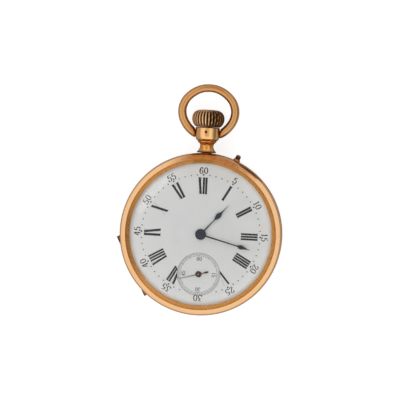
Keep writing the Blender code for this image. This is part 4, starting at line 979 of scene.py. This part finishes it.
def build_dial():
    prof = fillet([(1.2, 8.3), (20.45, 8.3, .05), (20.45, 9.02, .1), (20.28, 9.2, .2), (1.2, 9.2, .08)], 12.0)
    ob = to_object("enamel_dial", lathe(prof, 224), M_ENAMEL)
    well = moved(lathe([(0, 8.95), (5.72, 8.95), (5.84, 8.98), (5.95, 9.1), (5.97, 9.3), (0, 9.3)], 128), (*SUB, 0))
    hole = moved(lathe([(0, 8.0), (.45, 8.0), (.45, 9.6), (0, 9.6)], 40), (*SUB, 0))
    boolean(ob, [well, hole], "DIFFERENCE")
    finish(ob, "case", ["dial"], settle_now=False)

    black = Marks(Z_DIAL)
    for h in ROMAN:
        roman(black, h)
    finish(to_object("hour_numerals", black.bm, M_BLACK), "case", ())

    digits = Marks(Z_DIAL)
    for k in range(1, 13):
        write(digits, str(5 * k), 30 * k, 18.0, 1.76, .30, .11, squeeze=1.04, shift=-.03)
    for k in (0, 3, 9):  # quarter marks
        for u, v in ((0, 0),):
            digits.prism([on_dial(x, 16.85 + y, 30 * k) for x, y in ((0, -.34), (.12, -.1), (.30, .02), (.12, .1), (0, .36), (-.12, .1), (-.30, .02), (-.12, -.1))])
    finish(to_object("minute_numerals", digits.bm, M_DIGIT), "case", ())

    dots = Marks(Z_DIAL, 0.010)
    for k in range(60):
        p = on_dial(0, 16.78, 6 * k)
        if math.hypot(p[0] - SUB[0], p[1] - SUB[1]) < 6.3:
            continue
        dots.prism(circle(p[0], p[1], .25 if k % 5 == 0 else .185, 16))
    finish(to_object("minute_dots", dots.bm, M_DOT), "case", ())

    track = Marks(8.95, 0.010)
    track.ring(SUB, 5.62, 5.70)
    track.ring(SUB, 5.16, 5.24)
    for k in range(60):
        w = .11 if k % 5 == 0 else .06
        r1 = 5.64
        r0 = 5.0 if k % 5 == 0 else 5.2
        track.prism([on_dial(x, y, 6 * k, SUB) for x, y in ((-w / 2, r0), (w / 2, r0), (w / 2, r1), (-w / 2, r1))])
    for text, ang in (("60", 0), ("15", 90), ("30", 180), ("45", 270)):
        write(track, text, ang, 4.32, 1.08, .20, .08, SUB)
    finish(to_object("seconds_track", track.bm, M_TRACK), "case", ())
    rim = Marks(Z_DIAL, 0.008)
    rim.ring(SUB, 5.97, 6.07, 200)
    finish(to_object("seconds_rim_line", rim.bm, M_TRACK), "case", ())


# ================================================================ hands
def hand_outline(half, angle, centre=(0.0, 0.0)):
    pts = half + [(-x, y) for x, y in reversed(half) if x > 1e-9]
    a = -math.radians(angle)
    return [(centre[0] + x * math.cos(a) - y * math.sin(a), centre[1] + x * math.sin(a) + y * math.cos(a)) for x, y in pts]


def build_hands():
    disc = [(1.54 * math.cos(math.radians(a)), 1.54 * math.sin(math.radians(a))) for a in range(-90, 81, 6)]
    shaft = [(.19, 1.56), (.17, 3.0), (.135, 5.45)]
    pear = spline([(.135, 5.5), (.21, 5.8), (.42, 6.3), (.62, 6.85), (.685, 7.3), (.60, 7.75), (.42, 8.15), (.25, 8.6), (.145, 9.1)], 5)
    half = disc + shaft + pear + [(.10, 9.8), (.07, 10.6), (.03, 11.38)]
    ob = to_object("hour_hand_blued", plate(hand_outline(half, HOUR_ANGLE), [circle(0, 0, .98, 48)], 9.5, 9.75), M_BLUED)
    soften(ob, 0.055, 3, 50)
    finish(ob, "hour_arbor", ["hour_hand"], 40)
    ob = to_object("hour_collet", lathe(fillet([(.97, 9.70), (1.46, 9.70), (1.46, 9.80, .05), (1.2, 9.93, .1), (.97, 9.95, .03)]), 64), M_BLUED)
    finish(ob, "hour_arbor", ())

    hub = spline([(0.0, -1.0), (.45, -.93), (.82, -.6), (1.0, -.1), (.93, .42), (.62, .82), (.3, 1.0), (.215, 1.25)], 5)
    bulge = spline([(.165, 10.5), (.22, 10.85), (.42, 11.25), (.58, 11.65), (.60, 11.95), (.50, 12.4), (.36, 12.85), (.2, 13.45), (.09, 14.1)], 5)
    half = hub + [(.20, 4.0), (.175, 8.0)] + bulge + [(.03, 14.68)]
    ob = to_object("minute_hand_browned", plate(hand_outline(half, MINUTE_ANGLE), [circle(0, 0, .46, 40)], 10.0, 10.22), M_MINUTE)
    soften(ob, 0.05, 3, 50)
    finish(ob, "minute_arbor", ["minute_hand"], 40)
    ob = to_object("minute_boss", lathe(fillet([(0, 10.305), (.455, 10.305), (.455, 10.2), (.9, 10.2), (.9, 10.27, .03), (.72, 10.37, .1), (.36, 10.43, .3), (0, 10.45)]), 56), M_BLUED)
    finish(ob, "minute_arbor", ())

    oval = spline([(.095, -1.55), (.17, -1.75), (.26, -2.05), (.285, -2.35), (.24, -2.65), (.13, -2.85), (0.0, -2.92)][::-1], 5)
    ring = spline([(.10, -.92), (.3, -.84), (.62, -.62), (.84, -.28), (.885, 0.0), (.84, .28), (.62, .62), (.3, .84), (.085, .94)], 4)
    half = oval + [(.085, -1.2)] + ring + [(.07, 2.5), (.045, 4.5), (.015, 5.58)]
    ob = to_object("seconds_hand_purple", plate(hand_outline(half, SECOND_ANGLE, SUB), [circle(*SUB, .24, 28)], 9.05, 9.22), M_PURPLE)
    soften(ob, 0.035, 2, 50)
    finish(ob, "fourth_arbor", ["seconds_hand"], 40)
    ob = to_object("seconds_boss", moved(lathe(fillet([(.2, 9.2), (.55, 9.2), (.55, 9.25, .03), (.42, 9.42, .06), (.2, 9.44, .03)]), 40), (*SUB, 0)), M_PURPLE)
    finish(ob, "fourth_arbor", ())


# ================================================================ pieces carried over with soft edges
def refine(node, mat, bevel=0.03, segments=2, sharp=32.0, name=None):
    """A fine copy of a CAD piece: joined vertices, small rounded edges, smooth rounds."""
    src = NODES[node]
    bm = bmesh.new()
    vs = [bm.verts.new(v.co * 1000) for v in src.data.vertices]
    for p in src.data.polygons:
        try:
            bm.faces.new([vs[i] for i in p.vertices])
        except ValueError:
            pass
    bmesh.ops.remove_doubles(bm, verts=bm.verts[:], dist=2e-4)
    bmesh.ops.dissolve_limit(bm, angle_limit=math.radians(0.6), verts=bm.verts[:], edges=bm.edges[:])
    ob = to_object(name or node + "_fine", bm, mat)
    if bevel:
        soften(ob, bevel, segments, 38.0)
    body = src["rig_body"]
    finish(ob, body, [node], sharp)
    return ob


SLOT_MATS = {"rose_gold": M_GOLD, "worn_gold": M_CUV, "white_enamel": M_ENAMEL, "blued_steel": M_SPRING, "purple_steel": M_PURPLE,
             "polished_steel": M_STEEL, "gilt_brass": M_GILT, "wheel_brass": M_WHEEL, "ruby": M_RUBY, "watch_glass": M_GLASS}

build_case()
build_pendant()
build_bow()
build_crown()
build_push()
build_dial()
build_hands()

done = {n for o in bpy.data.objects for n in o.get("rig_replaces", [])}
for part in sorted(NODES):
    if part in done:
        continue
    s = next((q["material_slot"] for q in frame["record"]["subparts"] if q["node"] == part), None)
    mat = SLOT_MATS.get(s, M_STEEL)
    if part == "mainplate":
        mat = M_PERLAGE
    elif part == "balance_wheel":
        mat = M_BALANCE
    elif part == "ratchet_wheel":
        mat = M_SNAIL
    elif part.endswith("_screw") or "_screw_" in part:
        mat = M_BLUESCREW
    refine(part, mat, 0.0 if part in ("escape_wheel", "pallet_fork") else 0.03)

# ================================================================ floor, light, camera
def stage():
    me = bpy.data.meshes.new("floor")
    me.from_pydata([(-1.5, -1.5, 0), (1.5, -1.5, 0), (1.5, 1.5, 0), (-1.5, 1.5, 0)], [], [(0, 1, 2, 3)])
    floor = bpy.data.objects.new("floor", me)
    floor.location.z = -0.00012
    ROOM.objects.link(floor)
    t = Tree("floor_white")
    t.set(Base_Color=(0.5, 0.5, 0.5), Roughness=0.8)
    pale = t.nt.nodes.new("ShaderNodeBsdfPrincipled")
    pale.inputs["Base Color"].default_value = (0.35, 0.35, 0.35, 1)
    pale.inputs["Roughness"].default_value = 0.8
    pale.inputs["Emission Color"].default_value = (1, 1, 1, 1)
    pale.inputs["Emission Strength"].default_value = 0.80
    path = t.nt.nodes.new("ShaderNodeLightPath")
    both = t.nt.nodes.new("ShaderNodeMixShader")
    t.link(path.outputs["Is Camera Ray"], both.inputs[0])
    t.link(t.bsdf.outputs[0], both.inputs[1])
    t.link(pale.outputs[0], both.inputs[2])
    t.link(both.outputs[0], t.out.inputs["Surface"])
    me.materials.append(t.m)

    world = bpy.data.worlds.new("studio")
    bpy.context.scene.world = world
    world.use_nodes = True
    nt = world.node_tree
    nt.nodes.clear()
    out = nt.nodes.new("ShaderNodeOutputWorld")
    bg = nt.nodes.new("ShaderNodeBackground")
    nt.links.new(bg.outputs[0], out.inputs["Surface"])
    d = nt.nodes.new("ShaderNodeTexCoord").outputs["Generated"]
    sep = nt.nodes.new("ShaderNodeSeparateXYZ")
    nt.links.new(d, sep.inputs[0])
    rampn = nt.nodes.new("ShaderNodeValToRGB")
    rampn.color_ramp.interpolation = "EASE"
    e = rampn.color_ramp.elements
    e[0].position, e[0].color = 0.0, (0.40, 0.40, 0.40, 1)
    e[1].position, e[1].color = 1.0, (0.66, 0.66, 0.66, 1)
    for pos, v in ((0.10, 0.42), (0.28, 0.55), (0.45, 0.92), (0.60, 1.06), (0.80, 1.12), (0.90, 1.08), (0.965, 0.76)):
        k = e.new(pos)
        k.color = (v, v, v, 1)
    nt.links.new(sep.outputs[2], rampn.inputs[0])

    def vm(op, a, b):
        n = nt.nodes.new("ShaderNodeVectorMath")
        n.operation = op
        nt.links.new(a, n.inputs[0])
        n.inputs[1].default_value = b
        return n.outputs["Value"] if op == "DOT_PRODUCT" else n.outputs[0]

    def mr(v, a, b, c, dd):
        n = nt.nodes.new("ShaderNodeMapRange")
        n.interpolation_type = "SMOOTHSTEP"
        nt.links.new(v, n.inputs["Value"])
        for key, x in zip(("From Min", "From Max", "To Min", "To Max"), (a, b, c, dd)):
            n.inputs[key].default_value = x
        return n.outputs[0]

    def mixc(fac, a, b):
        n = nt.nodes.new("ShaderNodeMix")
        n.data_type = "RGBA"
        nt.links.new(fac, n.inputs["Factor"])
        for key, x in (("A", a), ("B", b)):
            if isinstance(x, bpy.types.NodeSocket):
                nt.links.new(x, n.inputs[key])
            else:
                n.inputs[key].default_value = (*x, 1)
        return n.outputs["Result"]

    # a warm dark card over the crown end, a dim right side
    c = rampn.outputs[0]
    right = mr(vm("DOT_PRODUCT", d, Vector((0.98, 0.05, 0.10)).normalized()), 0.70, 0.97, 0.0, 0.7)
    c = mixc(right, c, (0.10, 0.09, 0.09))
    card = mr(vm("DOT_PRODUCT", d, Vector((0.02, 0.588, 0.809)).normalized()), 0.925, 0.975, 0.0, 0.9)
    c = mixc(card, c, (0.42, 0.20, 0.07))
    nt.links.new(c, bg.inputs["Color"])
    bg.inputs["Strength"].default_value = 1.0

    def lamp(name, loc, target, size, power, colour=(1, 1, 1)):
        li = bpy.data.lights.new(name, "AREA")
        li.shape = "DISK"
        li.size = size
        li.energy = power
        li.color = colour
        o = bpy.data.objects.new(name, li)
        o.location = loc
        o.rotation_mode = "QUATERNION"
        o.rotation_quaternion = (Vector(target) - Vector(loc)).to_track_quat("-Z", "Y")
        o.visible_glossy = False
        ROOM.objects.link(o)

    lamp("key", (-0.30, 0.16, 0.42), (0, 0, 0), 0.24, 0.30)
    lamp("fill", (0.22, -0.30, 0.40), (0, 0, 0), 0.30, 0.18)

    cam = bpy.data.cameras.new("camera")
    cam.lens, cam.sensor_width = 200.0, 36.0
    cam.clip_start, cam.clip_end = 0.01, 10.0
    ob = bpy.data.objects.new("camera", cam)
    ROOM.objects.link(ob)
    bpy.context.scene.camera = ob
    roll = math.radians(3.3)
    right_v = Vector((math.cos(roll), math.sin(roll), 0))
    up_v = Vector((-math.sin(roll), math.cos(roll), 0))
    look_at = Vector((-0.715, 9.711, 10.0)) * MM
    back = (Vector((0, 0, 1)) + right_v * math.tan(math.radians(4.0)) + up_v * math.tan(math.radians(2.5))).normalized()
    xa = up_v.cross(back).normalized()
    ya = back.cross(xa)
    m = Matrix((xa, ya, back)).transposed().to_4x4()
    m.translation = look_at + back * 0.6271
    ob.matrix_world = m
    v = bpy.context.scene.view_settings
    v.view_transform = "Standard"
    v.look = "None"
    v.exposure = 0.0
    v.gamma = 1.0


stage()
